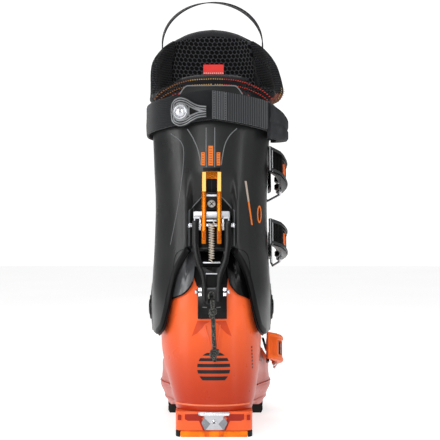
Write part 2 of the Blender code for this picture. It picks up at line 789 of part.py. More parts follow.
BUCKLES = {
    # name: (part it is riveted to, middle height, hinge y, tilt in degrees, lift, length, tall, finish)
    "upper": ("cuff", 240, 72, 20, 12, 56, 26, "gloss_black"),
    "lower": ("cuff", 174, 78, 16, 12, 56, 26, "gloss_black"),
    "instep": ("shell", 68, 98, 12, 9.5, 45, 26, "orange_lever"),
    "toe": ("shell", 66, 172, 6, 7.5, 38, 18, "orange_lever"),
}
# lift is from the boot's side out to the hinge; it and the lever's length and height are in mm.
LEVER_SWEEP = 5.3  # how far from the hinge the front of a lever reaches as it turns, in mm
BAIL_PIN = -9  # the bail's pin, in mm forward of the hinge
BAIL_SLOPE = {"upper": 0.62, "lower": 0.36, "instep": 0.04, "toe": 0.22}  # inward for each mm forward


def side_of(part, y, z, reach):
    """How far out the lateral side stands anywhere under a buckle's base."""
    far = 0.0
    for step in range(41):
        for high in (z - reach, z, z + reach):
            if part == "cuff":
                p = cuff_section(30 + 3 * step, high * MM)
            else:
                p = shell_point(1, step / 40, high * MM)
            if abs(p.y / MM - y) < reach:
                far = max(far, p.x / MM)
    return far


def hinge_point(spec):
    part, height, hinge_y, tilt, lift, length, tall, finish = spec
    return Vector((side_of(part, hinge_y, height, tall / 2) + lift, hinge_y, height)) * MM


def buckle(name, spec):
    """A base with the hinge pin, a lever that lies back along the boot, a wire bail and a ladder."""
    tilt, lift, long, height, finish = spec[3:]
    tall = height / 2
    pivot = hinge_point(spec)
    down = Vector((0, cos(radians(tilt)), -sin(radians(tilt))))
    up = Vector((0, sin(radians(tilt)), cos(radians(tilt))))
    out = Vector((1, 0, 0))

    def place(p):
        """(out, forward, up) in mm, measured from the hinge."""
        return pivot + (out * p[0] + down * p[1] + up * p[2]) * MM

    def solid(piece, outline, low, high, piece_finish, origin):
        """A plate whose outline is in the out-forward plane, between two heights."""
        return prism(
            piece, outline, lambda p: place((p[0], p[1], low)), lambda p: place((p[0], p[1], high)),
            piece_finish, origin,
        )

    # The lever bulges out behind its hinge, and its tip lies back against the boot.
    tip = [(0.4, -0.75 * long), (1.6 - lift, -long)]
    outer = [(3.4, 4), (6.2, -5), (7.2, -0.25 * long), (5.6, -0.45 * long), *tip]
    inner = [(-lift - 0.2, 2 - long), (-4.6, -0.7 * long), (-0.4, -0.4 * long), (-1.2, -7), (-3.2, 4)]
    lever = solid(f"{name}_buckle_lever", [*outer, *inner], -tall, tall, finish, pivot)
    window = prism(
        f"{name}_lever_window", [(-20, -0.62 * long), (-20, -10), (20, -10), (20, -0.62 * long)],
        lambda p: place((*p, 6 - tall)), lambda p: place((*p, tall - 6)), finish,
    )
    bore = rod(f"{name}_lever_bore", place((0, 0, -20)), place((0, 0, 20)), 1.9 * MM, finish)
    cut(lever, window)
    cut(lever, bore)
    ends = (place((0, 0, -tall - 0.3)), place((0, 0, tall + 0.3)))
    rod(f"{name}_buckle_pin", *ends, 1.5 * MM, "silver", 10, pivot)
    base = -lift + 0.8
    crown = min(base + 3.4, -LEVER_SWEEP - 0.3)
    edge = min(base + 2, crown - 0.4)
    solid(
        f"{name}_buckle_base",
        [(base, 7), (base, -10), (edge, -10), (crown, -3), (crown, 3), (edge, 7)],
        -tall + 1, tall - 1, "gloss_black", pivot,
    )


def bails():
    """Wire bails, pinned behind each lever's hinge, that reach forward to the toothed ladder."""
    for name, spec in BUCKLES.items():
        inward = BAIL_SLOPE[name]
        slope = radians(spec[3])
        pivot = hinge_point(spec)
        out = Vector((1, 0, 0))
        ahead = Vector((0, cos(slope), -sin(slope)))
        up = Vector((0, sin(slope), cos(slope)))
        half = spec[6] / 2 + 2.2

        def wire(forward, high):
            away = 1 - inward * max(forward - 1, 0)
            return pivot + (out * away + ahead * forward + up * high) * MM

        leg = [(BAIL_PIN, half), (1, half), (20, half), (24, half - 4)]
        corners = [*leg, *((forward, -high) for forward, high in reversed(leg))]
        curve = bpy.data.curves.new(f"{name}_buckle_bail", "CURVE")
        curve.dimensions = "3D"
        curve.bevel_depth = 1.3 * MM
        curve.bevel_resolution = 1
        curve.use_fill_caps = True
        line = curve.splines.new("POLY")
        line.points.add(len(corners) - 1)
        for point, corner in zip(line.points, corners):
            point.co = (*wire(*corner), 1)
        curve.materials.append(material("silver"))
        pin = wire(BAIL_PIN, 0)
        for point in line.points:
            point.co = (*(point.co.xyz - pin), 1)
        bail = bpy.data.objects.new(f"{name}_buckle_bail", curve)
        bail.location = pin
        bpy.context.scene.collection.objects.link(bail)


def ladders():
    """Toothed racks in front of the levers, which the bails hook into."""
    spans = {"upper": (116, 150, 227, 246), "lower": (118, 150, 158, 178)}
    teeth = 7
    for name, (first, last, low, high) in spans.items():
        columns = [mix(first, last, k / (2 * teeth)) for k in range(2 * teeth + 1)]
        raised = {a: 1.6 + 2.2 * (k % 2) for k, a in enumerate(columns)}

        def outer(a, t, low=low, high=high, raised=raised):
            return cuff_section(a, mix(low, high, t) * MM, -raised[a] * MM)

        def inner(a, t, low=low, high=high):
            return cuff_section(a, mix(low, high, t) * MM, -0.8 * MM)

        wall(f"{name}_buckle_ladder", outer, inner, columns, 1, "gloss_black", ring=False)
    spans = {"instep": (0.53, 0.56, 66, 80), "toe": (0.74, 0.84, 53, 60.6)}
    for name, (first, last, low, high) in spans.items():
        columns = [mix(first, last, k / (2 * teeth)) for k in range(2 * teeth + 1)]
        raised = {s: 4.4 + 1.8 * (k % 2) for k, s in enumerate(columns)}

        def outer(s, t, low=low, high=high, raised=raised):
            return shell_point(1, s, mix(low, high, t) * MM, -raised[s] * MM)

        def inner(s, t, low=low, high=high):
            return shell_point(1, s, mix(low, high, t) * MM, -3.6 * MM)

        wall(f"{name}_buckle_ladder", outer, inner, columns, 1, "gloss_black", ring=False)


CUFF_PIECES = (
    "cuff_shell", "cuff_rear_skirt", "rear_spoiler", "pivot_bolt_lateral", "pivot_bolt_medial", "lean_fork",
    "main_axle", "axle_bracket", "axle_lug_lateral", "axle_lug_medial", "lean_plate", "lean_screw",
    "liner_collar", "liner_tongue", "liner_label", "pull_loop", "power_strap", "strap_tab", "strap_rivet",
    "strap_webbing", "strap_keeper", "upper_buckle_base", "upper_buckle_ladder", "lower_buckle_base",
    "lower_buckle_ladder",
)


def hang_cuff():
    """Everything that turns with the cuff hangs on an empty at the ankle axis."""
    axis = bpy.data.objects.new("ankle_axis", None)
    axis.location = (0, PIVOT_Y, PIVOT_Z)
    bpy.context.scene.collection.objects.link(axis)
    for name in CUFF_PIECES:
        obj = bpy.data.objects[name]
        obj.parent = axis
        obj.matrix_parent_inverse = Matrix.Translation(-axis.location)


def main():
    clear_scene()
    lower_shell()
    liner_foot()
    boot_board()
    instep_flap()
    soles()
    heel_insert()
    cuff_shell()
    cuff_rear_skirt()
    rear_spoiler()
    pivot_caps()
    lean_fork()
    lock_bar()
    mechanism()
    lock_block()
    pull_cord()
    liner()
    pull_loop()
    power_strap()
    for name, spec in BUCKLES.items():
        buckle(name, spec)
    bails()
    ladders()
    hang_cuff()


main()
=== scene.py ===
"""The looks of a right ski-touring boot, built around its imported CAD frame.

Lengths are in millimetres inside the section functions, and MM turns them into metres.
"""

import json
import random
from math import asin, copysign, cos, degrees, hypot, pi, radians, sin, sqrt

import bmesh
import bpy
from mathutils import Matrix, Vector


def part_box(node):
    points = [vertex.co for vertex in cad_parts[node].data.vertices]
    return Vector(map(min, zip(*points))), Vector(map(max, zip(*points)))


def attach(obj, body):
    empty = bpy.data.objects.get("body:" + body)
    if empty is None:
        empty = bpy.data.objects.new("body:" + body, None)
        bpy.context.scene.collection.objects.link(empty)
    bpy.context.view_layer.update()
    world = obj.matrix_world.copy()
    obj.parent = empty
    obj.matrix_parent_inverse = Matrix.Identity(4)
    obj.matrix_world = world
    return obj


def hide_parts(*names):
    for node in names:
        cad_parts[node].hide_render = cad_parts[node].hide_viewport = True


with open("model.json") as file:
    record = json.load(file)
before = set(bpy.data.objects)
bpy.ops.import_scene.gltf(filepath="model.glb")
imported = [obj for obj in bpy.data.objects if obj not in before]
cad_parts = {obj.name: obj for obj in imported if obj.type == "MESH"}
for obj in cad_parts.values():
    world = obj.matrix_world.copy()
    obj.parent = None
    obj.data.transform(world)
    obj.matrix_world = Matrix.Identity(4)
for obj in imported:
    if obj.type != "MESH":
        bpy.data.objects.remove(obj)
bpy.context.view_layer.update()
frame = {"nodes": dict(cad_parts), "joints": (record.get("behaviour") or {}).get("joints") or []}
nodes = frame["nodes"]
MM = 0.001
SIDES = ((1, "lateral"), (-1, "medial"))
ENDS = ((1, "top"), (-1, "foot"))


def box_mm(node):
    low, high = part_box(node)
    return Vector(low) / MM, Vector(high) / MM


def add_object(name, data):
    obj = bpy.data.objects.new(name, data)
    bpy.context.scene.collection.objects.link(obj)
    return obj


def camera():
    data = bpy.data.cameras.new("camera")
    data.lens = 120
    data.sensor_width = 36
    obj = add_object("camera", data)
    obj.location = (0.0055, -1.386, 0.2)
    obj.rotation_euler = (radians(90), 0, 0)
    bpy.context.scene.camera = obj


camera()

# Sections of the boot, as the CAD has them

LEG_X, PIVOT_Y, PIVOT_Z = -3.0, 52.0, 115.0
SHELL_TOP, LEG_Y = 158, 46
BALL_R, BALL_HALF, BALL_N = 88.0, 50, 2.4
MECH_X = -2.2
MECH_RECESS = 7
# Over height: how far back and forward the foot and the cuff reach, half their widths, and the
# length over which the heel and the toe are rounded
FOOT_REAR = [(12, -34), (24, -36), (45, -37.5), (75, -37), (100, -36.3), (122, -35.7)]
FOOT_FRONT = [
    (12, 258), (24, 263), (40, 264), (52, 260), (62, 250), (72, 232),
    (82, 210), (92, 190), (102, 172), (112, 158), (122, 150),
]
HEEL_HALF = [(12, 34), (24, 36), (39, 40), (60, 45), (81, 48), (110, 49)]
FORE_HALF = [(12, 49), (24, 54), (40, 57.5), (52, 56), (65, 49), (78, 43), (95, 42), (122, 44)]
HEEL_ROUND = [(12, 34), (24, 40), (60, 66), (115, 88)]
TOE_ROUND = [(12, 92), (60, 96), (90, 110), (122, 95)]
CUFF_REAR = [
    (93, -41), (115, -42), (135, -40), (155, -37.5), (173, -36.5), (200, -34), (250, -27), (300, -16),
    (330, -8),
]
CUFF_FRONT = [
    (93, 146), (115, 146.5), (135, 145), (150, 140), (167, 131), (200, 119), (250, 112), (300, 106),
    (330, 105),
]
CUFF_HALF = [(93, 57), (125, 58), (150, 56.8), (170, 55.6), (215, 54.2), (250, 55.5), (300, 57), (330, 57)]
# The cuff's lower edge, as (degrees from the rear, height)
CUFF_BOTTOM = [
    (0, 173), (16, 173), (24, 164), (32, 150), (43, 114), (52, 98), (64, 92.5), (90, 99), (135, 142),
    (180, 167),
]


def soft(t):
    t = min(max(t, 0.0), 1.0)
    return t * t * (3 - 2 * t)


def mix(a, b, t):
    return a + (b - a) * t


def table(pairs, at):
    """The value at a place, eased through the (place, value) pairs as one smooth curve."""
    if at <= pairs[0][0]:
        return pairs[0][1]
    if at >= pairs[-1][0]:
        return pairs[-1][1]
    k = next(n for n in range(len(pairs) - 1) if at <= pairs[n + 1][0])
    (a, low), (b, high) = pairs[k], pairs[k + 1]
    span = b - a
    t = (at - a) / span

    def slope(n):
        if n <= 0 or n >= len(pairs) - 1:
            return (high - low) / span
        before, here, after = pairs[n - 1 : n + 2]
        left = (here[1] - before[1]) / (here[0] - before[0])
        right = (after[1] - here[1]) / (after[0] - here[0])
        return 0.0 if left * right <= 0 else 2 * left * right / (left + right)

    return mix(low, high, soft(t)) + span * (slope(k) * t * (1 - t) ** 2 - slope(k + 1) * t * t * (1 - t))


def bump(at, middle, half):
    """A smooth hump of height 1."""
    return soft(1 - abs(at - middle) / half)


def rim(t, wide):
    """1 at either edge of a band, easing to 0 inside it."""
    return 1 - soft(min(t, 1 - t) / wide)


def oval(share, power=BALL_N):
    """How far a superellipse reaches along, for a share across it."""
    return (1 - share**power) ** (1 / power)


def rounded(t, power):
    return oval(1 - min(max(t, 0.0), 1.0), power)


def sided(a):
    return 1 if a >= 0 else -1


def circle(steps):
    """(cosine, sine) at even steps round a circle."""
    return [(cos(2 * pi * k / steps), sin(2 * pi * k / steps)) for k in range(steps)]


def mirrored(side, places, middle=MECH_X):
    """Places across and up, on one side of a middle line."""
    return [(middle + side * x, h) for x, h in places]


def rectangle(left, low, right, high):
    return [(left, low), (right, low), (right, high), (left, high)]


def foot_point(side, s, h, out):
    rear = table(FOOT_REAR, h) - out
    front = table(FOOT_FRONT, h) + out * 1.2
    y = rear + (front - rear) * (1 - cos(pi * s)) / 2
    fore = soft((y - 45) / 100)
    half = mix(table(HEEL_HALF, h), table(FORE_HALF, h), fore) + out
    caps = rounded((y - rear) / table(HEEL_ROUND, h), 2.3) * rounded((front - y) / table(TOE_ROUND, h), 2.2)
    return Vector((mix(LEG_X * soft((h - 24) / 60), 0.8, fore) + side * half * caps, y, h))


def ankle_point(side, s, h, out):
    reach = BALL_R + out
    y = PIVOT_Y - sqrt(max(reach**2 - (h - PIVOT_Z) ** 2, 0.0)) * cos(pi * s)
    share = min(hypot(y - PIVOT_Y, h - PIVOT_Z) / reach, 1.0)
    return Vector((LEG_X + side * (BALL_HALF + out) * oval(share), y, h))


def to_ankle(h):
    """0 on the foot of the shell and 1 on the ball at the ankle."""
    return soft((h - 98) / 24)


def shell_point(side, s, h, out=0.0):
    foot = foot_point(side, s, h, out)
    return foot.lerp(ankle_point(side, s, h, out), to_ankle(h)) if h > 98 else foot


def ball_rear(x, h, half, reach):
    """Depth of the back of a ball round the ankle, flattened across."""
    spread = reach * oval(min(abs(x - LEG_X) / half, 0.999))
    return PIVOT_Y - sqrt(max(spread**2 - (h - PIVOT_Z) ** 2, 0.0))


def shell_rear(x, h):
    """The lower shell's rear face at a place across and up."""
    share = min(abs(x - LEG_X * soft((h - 24) / 60)) / table(HEEL_HALF, h), 0.999)
    foot = table(FOOT_REAR, h) + (1 - oval(share, 2.3)) * table(HEEL_ROUND, h)
    return Vector((x, mix(foot, ball_rear(x, h, BALL_HALF, BALL_R), to_ankle(h)), h))


def cuff_middle(h):
    return mix(PIVOT_Y, LEG_Y, soft((h - 173) / 120))


def pocket(x, h):
    """How deep the walk mechanism's pocket is."""
    return MECH_RECESS * soft((23 - abs(x - MECH_X)) / 6) * soft((250 - h) / 40)


def cuff_point(a, h, out=0.0, recess=True):
    """A place round the cuff, by its angle from the rear in degrees, and up."""
    turn, middle = radians(a), cuff_middle(h)
    x = LEG_X + sided(a) * abs(sin(turn)) ** (2 / BALL_N) * (table(CUFF_HALF, h) + out)
    along = abs(cos(turn)) ** (2 / BALL_N)
    if abs(a) <= 90:
        y = middle - along * (middle - (table(CUFF_REAR, h) - out))
    else:
        y = middle + along * (table(CUFF_FRONT, h) + out - middle)
    return Vector((x, y + (pocket(x, h) if recess and abs(a) < 60 else 0), h))


def cuff_rear(x, h):
    """The cuff's rear face at a place across and up."""
    middle = cuff_middle(h)
    along = oval(min(abs(x - LEG_X) / table(CUFF_HALF, h), 0.999))
    return Vector((x, middle - along * (middle - table(CUFF_REAR, h)) + pocket(x, h), h))


def cuff_angle(x, half):
    """The angle from the rear in degrees where the cuff stands at x."""
    return degrees(asin(min(abs(x - LEG_X) / half, 1.0) ** (BALL_N / 2)))


def shoulder(x, h):
    """The raised shoulder beside the walk mechanism's recess."""
    return 1.3 * bump(abs(x - MECH_X), 24.5, 4.5) * soft((232 - h) / 22) * soft((h - 172) / 8)


def facet(a, h):
    """The soft facet down each rear corner of the cuff."""
    return 1.4 * bump(abs(a), 47, 22) * soft((292 - h) / 20)


def heel_shelf(x, h):
    """The step under the lock block and the waist above the sole, as a shift of the rear face."""
    return 2.4 * bump(x, MECH_X, 26) * soft((112 - h) / 6) * soft((h - 90) / 14) - bump(h, 28, 4)

# Materials


class Nodes:
    """Short calls for one material's node tree."""

    def __init__(self, name, colour, roughness, metallic=0.0, **sockets):
        self.material = bpy.data.materials.new(name)
        self.material.use_nodes = True
        self.tree = self.material.node_tree
        self.shader = self.tree.nodes["Principled BSDF"]
        values = {"Base Color": (*colour, 1), "Roughness": roughness, "Metallic": metallic, "IOR": 1.24}
        self.feed(self.shader, {**values, **sockets})
        self.colour = colour
        self.place = self.node("ShaderNodeTexCoord").outputs["Object"]

    def feed(self, node, inputs):
        for key, value in dict(inputs).items():
            if isinstance(value, bpy.types.NodeSocket):
                self.tree.links.new(value, node.inputs[key])
            else:
                node.inputs[key].default_value = value

    def node(self, kind, inputs=(), **settings):
        made = self.tree.nodes.new(kind)
        for key, value in settings.items():
            setattr(made, key, value)
        self.feed(made, inputs)
        return made

    def math(self, operation, a, b=0.0):
        return self.node("ShaderNodeMath", {0: a, 1: b}, operation=operation).outputs[0]

    def split(self, vector=None):
        return self.node("ShaderNodeSeparateXYZ", {"Vector": vector or self.place}).outputs

    def wave(self, value, pitch):
        return self.math("SINE", self.math("MULTIPLY", value, 2 * pi / pitch))

    def noise(self, scale, detail=4.0, stretch=(1, 1, 1)):
        at = self.node("ShaderNodeMapping", {"Vector": self.place, "Scale": stretch}).outputs[0]
        values = {"Vector": at, "Scale": scale, "Detail": detail, "Roughness": 0.55}
        return self.node("ShaderNodeTexNoise", values).outputs["Fac"]

    def ramp(self, value, low, high, to_low=0, to_high=1, **settings):
        values = {"Value": value, "From Min": low, "From Max": high, "To Min": to_low, "To Max": to_high}
        return self.node("ShaderNodeMapRange", values, **settings).outputs["Result"]

    def blend(self, amount, a, b):
        """A mix of two colours, each a colour or a socket."""
        a, b = ((*c, 1) if isinstance(c, tuple) else c for c in (a, b))
        return self.node("ShaderNodeMix", {0: amount, 6: a, 7: b}, data_type="RGBA").outputs[2]

    def set(self, socket, value):
        self.tree.links.new(value, self.shader.inputs[socket])

    def tint(self, value, other):
        """The base colour drifts to another one."""
        self.set("Base Color", self.blend(value, self.colour, other))

    def relief(self, height, distance, strength=1.0):
        made = self.node("ShaderNodeBump", {"Height": height, "Distance": distance, "Strength": strength})
        if self.shader.inputs["Normal"].links:
            self.tree.links.new(self.shader.inputs["Normal"].links[0].from_socket, made.inputs["Normal"])
        self.set("Normal", made.outputs[0])


def scaled(colour, by):
    return tuple(c * by for c in colour)


def plastic(name, colour, roughness, shade_below=None, **sockets):
    """Moulded plastic: faint flow marks, fine grain, and rubbed places of another gloss.

    fade is painted shade: (low height, high height, colour below), in metres, darkening a shell towards its
    foot.
    """
    made = Nodes(name, colour, roughness, **{"IOR": 1.3, **sockets})
    marks = made.blend(made.ramp(made.noise(14, 3), 0.35, 0.7), colour, scaled(colour, 0.9))
    # Painted shade: below the given heights the colour darkens to the colour below.
    if shade_below:
        low, high, below = shade_below
        up = made.ramp(made.split()["Z"], low, high, interpolation_type="SMOOTHSTEP")
        marks = made.blend(up, below, marks)
    made.set("Base Color", marks)
    made.set("Roughness", made.ramp(made.noise(60, 6), 0.3, 0.7, roughness * 0.88, roughness * 1.15))
    made.relief(made.noise(2600, 2), 0.00003)
    made.relief(made.noise(9, 2), 0.0002, 0.4)
    return made.material


def metal(name, colour, roughness, stretch=(1, 1, 1)):
    """Satin metal: drifting colour and gloss, and fine grain, which stretch draws out into brushing."""
    made = Nodes(name, colour, roughness, 1.0)
    made.tint(made.ramp(made.noise(260, 5, stretch), 0.35, 0.75), scaled(colour, 0.84))
    made.set("Roughness", made.ramp(made.noise(420, 5, stretch), 0.3, 0.7, roughness * 0.8, roughness * 1.3))
    made.relief(made.noise(1500, 3, stretch), 0.00002)
    return made.material


def rubber(name, colour):
    made = Nodes(name, colour, 0.75)
    made.tint(made.ramp(made.noise(90, 5), 0.4, 0.75), scaled(colour, 1.8))
    made.relief(made.noise(1400, 4), 0.00006)
    return made.material


def fabric(name, colour, roughness, sheen):
    return Nodes(name, colour, roughness, **{"Sheen Weight": sheen, "Sheen Roughness": 0.4})


def cloth(name, colour, light, pitch=0.0011, relief=0.0003):
    """Plain woven cloth: two sets of threads crossing, and a little lint."""
    made = fabric(name, colour, 0.9, 0.25)
    x, y, z = made.split()
    weave = made.math("MULTIPLY", made.wave(made.math("ADD", x, y), pitch), made.wave(z, pitch))
    made.tint(made.ramp(weave, -1, 1, 0, 0.5), light)
    made.relief(weave, relief, 0.6)
    made.relief(made.noise(500, 4), 0.0002, 0.4)
    return made.material


def hex_mesh(name, colour, light, pitch):
    """Spacer mesh: a honeycomb of threads round darker holes, over the piece's own UV map in metres."""
    made = fabric(name, colour, 0.85, 0.06)
    uv = made.split(made.node("ShaderNodeTexCoord").outputs["UV"])

    def nearest(shift):
        squares = []
        for axis, cell in enumerate((pitch, pitch * sqrt(3))):
            wrapped = made.math("FLOORED_MODULO", made.math("ADD", uv[axis], shift * cell / 2), cell)
            off = made.math("SUBTRACT", wrapped, cell / 2)
            squares.append(made.math("MULTIPLY", off, off))
        return made.math("SQRT", made.math("ADD", *squares))

    thread = made.ramp(made.math("MINIMUM", nearest(0), nearest(1)), pitch * 0.40, pitch * 0.50)
    made.tint(thread, light)
    made.relief(thread, 0.0009, 0.9)
    made.relief(made.noise(900, 3), 0.0002, 0.4)
    return made.material


def webbing(name, colour, light, axis, pitch):
    """Ribbed webbing: cords across the strap, with a finer twist on each."""
    made = fabric(name, colour, 0.8, 0.2)
    rib = made.ramp(made.math("PINGPONG", made.split()[axis], pitch / 2), 0, pitch / 2)
    made.tint(made.ramp(rib, 0.2, 1, 0, 0.8), light)
    made.relief(rib, 0.0006, 0.8)
    made.relief(made.noise(1800, 3), 0.0001, 0.6)
    return made.material


def braid(name, colour, fleck, pitch=0.0016):
    """Braided cord: strands crossing in a diamond, with pale flecks."""
    made = Nodes(name, colour, 0.85, **{"Sheen Weight": 0.2})
    x, y, z = made.split()
    across = made.math("ADD", x, y)
    strands = (made.wave(made.math(way, across, z), pitch) for way in ("ADD", "SUBTRACT"))
    made.tint(made.ramp(made.noise(700, 2), 0.54, 0.6, 0, 0.8), fleck)
    made.relief(made.math("MULTIPLY", *strands), 0.0004, 0.9)
    return made.material


def thread(name, colour, roughness=0.6):
    return Nodes(name, colour, roughness).material


# The shell's foot is darkened with painted shade.
ORANGE = plastic("shell_orange", (0.86, 0.125, 0.03), 0.30, shade_below=(0.03, 0.12, (0.42, 0.032, 0.006)))
HEEL_ORANGE = plastic("heel_orange", (0.86, 0.12, 0.03), 0.3)
# Painted shade for the heel's recesses, in dark red.
RECESS_SHADE = plastic("shadow_red", (0.34, 0.016, 0.005), 0.45)
SHADE = plastic("shade_orange", (0.58, 0.055, 0.012), 0.4)
# Painted highlight along the heel ledge.
LEDGE_HIGHLIGHT = plastic("ledge_highlight_orange", (0.8, 0.17, 0.07), 0.25)
LEVER_ORANGE = plastic("lever_orange", (0.82, 0.13, 0.012), 0.34)
LEVER_EDGE = plastic("lever_edge", (0.035, 0.036, 0.038), 0.25)
# Painted highlight for the dark levers' lips.
LIP_HIGHLIGHT = plastic("lever_pale_edge", (0.42, 0.43, 0.44), 0.3)
CUFF = plastic("cuff_black", (0.011, 0.0115, 0.012), 0.31, IOR=1.36)
# Painted highlight along the rear panel's top edge.
RIM_HIGHLIGHT = plastic("rim_highlight_grey", (0.22, 0.225, 0.235), 0.35)
LIP = plastic("lip_black", (0.002, 0.002, 0.0025), 0.3, IOR=1.2)
# Painted reflection: glossy black drawn pale grey.
SKIRT_REFLECTION = plastic("skirt_reflection_grey", (0.075, 0.077, 0.082), 0.24, **{"Coat Weight": 0.3, "Coat Roughness": 0.12})
GROOVE = plastic("groove_grey", (0.16, 0.165, 0.17), 0.4)
GLOSS = plastic("gloss_black", (0.0025, 0.0025, 0.003), 0.2, IOR=1.26)
PRINT_ORANGE = plastic("print_orange", (0.72, 0.17, 0.02), 0.5)
PRINT_DARK = plastic("print_dark", (0.2, 0.04, 0.01), 0.5)
PRINT_PALE = plastic("print_pale", (0.4, 0.33, 0.28), 0.5)
PRINT_BLACK = plastic("print_black", (0.01, 0.01, 0.012), 0.35)
AMBER = rubber("heel_amber", (0.66, 0.15, 0.006))
AMBER_DARK = rubber("heel_amber_dark", (0.55, 0.09, 0.006))
RUBBER = rubber("sole_rubber", (0.012, 0.012, 0.012))
TAB = rubber("tab_rubber", (0.02, 0.021, 0.023))
TAB_LIGHT = rubber("tab_ridges", (0.16, 0.165, 0.17))
MESH = hex_mesh("spacer_mesh", (0.0015, 0.0015, 0.002), (0.07, 0.072, 0.08), 0.0048)
FINE_MESH = hex_mesh("fine_mesh", (0.002, 0.002, 0.003), (0.03, 0.031, 0.035), 0.0028)
LINING = cloth("liner_cloth", (0.006, 0.006, 0.008), (0.018, 0.018, 0.021))
BINDING = cloth("binding", (0.018, 0.018, 0.021), (0.05, 0.05, 0.056), 0.0009)
RUST = cloth("rust_cloth", (0.13, 0.022, 0.008), (0.2, 0.04, 0.015), 0.0012)
RED = cloth("red_label", (0.6, 0.03, 0.028), (0.85, 0.09, 0.07), 0.0009, 0.0001)
WEB = cloth("strap_weave", (0.008, 0.0085, 0.0095), (0.028, 0.03, 0.033), 0.0016)
WEB_ACROSS = webbing("webbing_ribs", (0.018, 0.019, 0.021), (0.075, 0.08, 0.085), 0, 0.0021)
WEB_LIGHT = webbing("webbing_fold", (0.03, 0.032, 0.035), (0.12, 0.125, 0.13), 0, 0.0021)
LOOP = webbing("loop_ribs", (0.006, 0.006, 0.007), (0.022, 0.022, 0.025), 1, 0.0016)
SILVER = metal("silver_satin", (0.62, 0.63, 0.66), 0.24)
BRUSHED = metal("silver_brushed", (0.5, 0.51, 0.54), 0.32, (1, 1, 8))
# Painted shade: a darker copy of the insert's metal.
INSERT_SHADE = metal("insert_painted_shade", (0.24, 0.25, 0.27), 0.3)
# Painted highlight: a paler copy of the insert's metal.
INSERT_HIGHLIGHT = metal("insert_painted_highlight", (0.75, 0.76, 0.78), 0.2)
SPRING_STEEL = metal("spring_steel", (0.72, 0.64, 0.54), 0.3)
SCREW_STEEL = metal("screw_steel", (0.26, 0.25, 0.23), 0.3)
GOLD = metal("gold_anodised", (0.45, 0.12, 0.008), 0.24, (1, 1, 5))
GOLD_SHADE = metal("gold_shadow", (0.35, 0.07, 0.01), 0.4)
# Painted highlight for the fork's upper facets.
GOLD_HIGHLIGHT = plastic("gold_highlight", (1.0, 0.62, 0.17), 0.25)
CORD = braid("cord_braid", (0.012, 0.012, 0.011), (0.16, 0.16, 0.13))
THREAD_GOLD = thread("thread_gold", (0.55, 0.33, 0.09))
THREAD_RED = thread("thread_red", (0.6, 0.05, 0.03))
THREAD_RUST = thread("thread_rust", (0.32, 0.12, 0.03))
THREAD_WHITE = thread("thread_white", (0.7, 0.55, 0.5))
THREAD_GREY = thread("thread_grey", (0.1, 0.1, 0.11), 0.7)
# Finish, body and material slot of pieces that share all three
ON_SHELL = (ORANGE, "lower", "orange_shell")
ON_CUFF = (CUFF, "cuff", "cuff_black")
DARK_TRIM = (LIP, "cuff", "gloss_black")

# Mesh building


def smooth(obj, angle=40):
    obj.data.shade_smooth()
    obj.data.set_sharp_from_angle(angle=radians(angle))


def place_on(obj, body, slot=None, replaced=None):
    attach(obj, body)
    if replaced:
        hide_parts(replaced)


def piece(name, points, faces, finish, body, slot=None, replaced=None, uvs=None, angle=40):
    """A new mesh from points in millimetres, riding on a body."""
    mesh = bpy.data.meshes.new(name)
    mesh.from_pydata([Vector(p) * MM for p in points], [], faces)
    mesh.materials.append(finish)
    if uvs:
        layer = mesh.uv_layers.new(name="UVMap")
        for loop in mesh.loops:
            layer.data[loop.index].uv = uvs[loop.vertex_index]
    shape = bmesh.new()
    shape.from_mesh(mesh)
    bmesh.ops.recalc_face_normals(shape, faces=shape.faces)
    if shape.calc_volume(signed=True) < 0:
        bmesh.ops.reverse_faces(shape, faces=shape.faces)
    shape.to_mesh(mesh)
    shape.free()
    obj = add_object(name, mesh)
    smooth(obj, angle)
    place_on(obj, body, slot, replaced)
    return obj


# Each builder below passes what it doesn't name on to piece: finish, body, slot and replaced node.


def bevel(obj, width, segments=2):
    edge = obj.modifiers.new("edges", "BEVEL")
    edge.width = width * MM
    edge.segments = segments
    edge.limit_method = "ANGLE"
    edge.angle_limit = radians(35)


def repaint(name, finish, width=0.0, segments=2):
    """A CAD node that keeps its shape, with a real finish and softened edges."""
    obj = nodes[name]
    obj.data.materials.clear()
    obj.data.materials.append(finish)
    if width:
        obj.modifiers.new("weld", "WELD").merge_threshold = 0.00002
        bevel(obj, width, segments)
        obj.data.shade_smooth()


def wall(name, outer, inner, columns, rows, *looks, ring=True, floor=False, mapped=False):
    """A wall between outer(u, t) and inner(u, t), with rows of t from 0 to 1."""
    wide, tall = len(columns), rows + 1
    points = [face(u, k / rows) for face in (outer, inner) for k in range(tall) for u in columns]
    inside, top = wide * tall, rows * wide
    faces = []
    for k in range(wide if ring else wide - 1):
        nxt = (k + 1) % wide
        for row in range(0, top, wide):
            a, b = row + k, row + nxt
            faces.append((a, b, b + wide, a + wide))
            faces.append((inside + b, inside + a, inside + a + wide, inside + b + wide))
        faces.append((top + k, top + nxt, inside + top + nxt, inside + top + k))
        if not floor:
            faces.append((k, inside + k, inside + nxt, nxt))
    if floor:
        for start in (0, inside):
            for k in range(wide // 2):
                corners = dict.fromkeys([k, k + 1, wide - k - 1, (wide - k) % wide])
                faces.append(tuple(start + c for c in corners))
    if not ring:
        for a in (row + edge for edge in (0, wide - 1) for row in range(0, top, wide)):
            faces.append((a, a + wide, inside + a + wide, inside + a))
    uvs = []
    for start in range(0, 2 * inside if mapped else 0, wide):
        length = 0.0
        for k in range(start, start + wide):
            length += (points[k] - points[k - 1]).xy.length if k > start else 0.0
            uvs.append((length * MM, points[k].z * MM))
    return piece(name, points, faces, *looks, uvs=uvs)


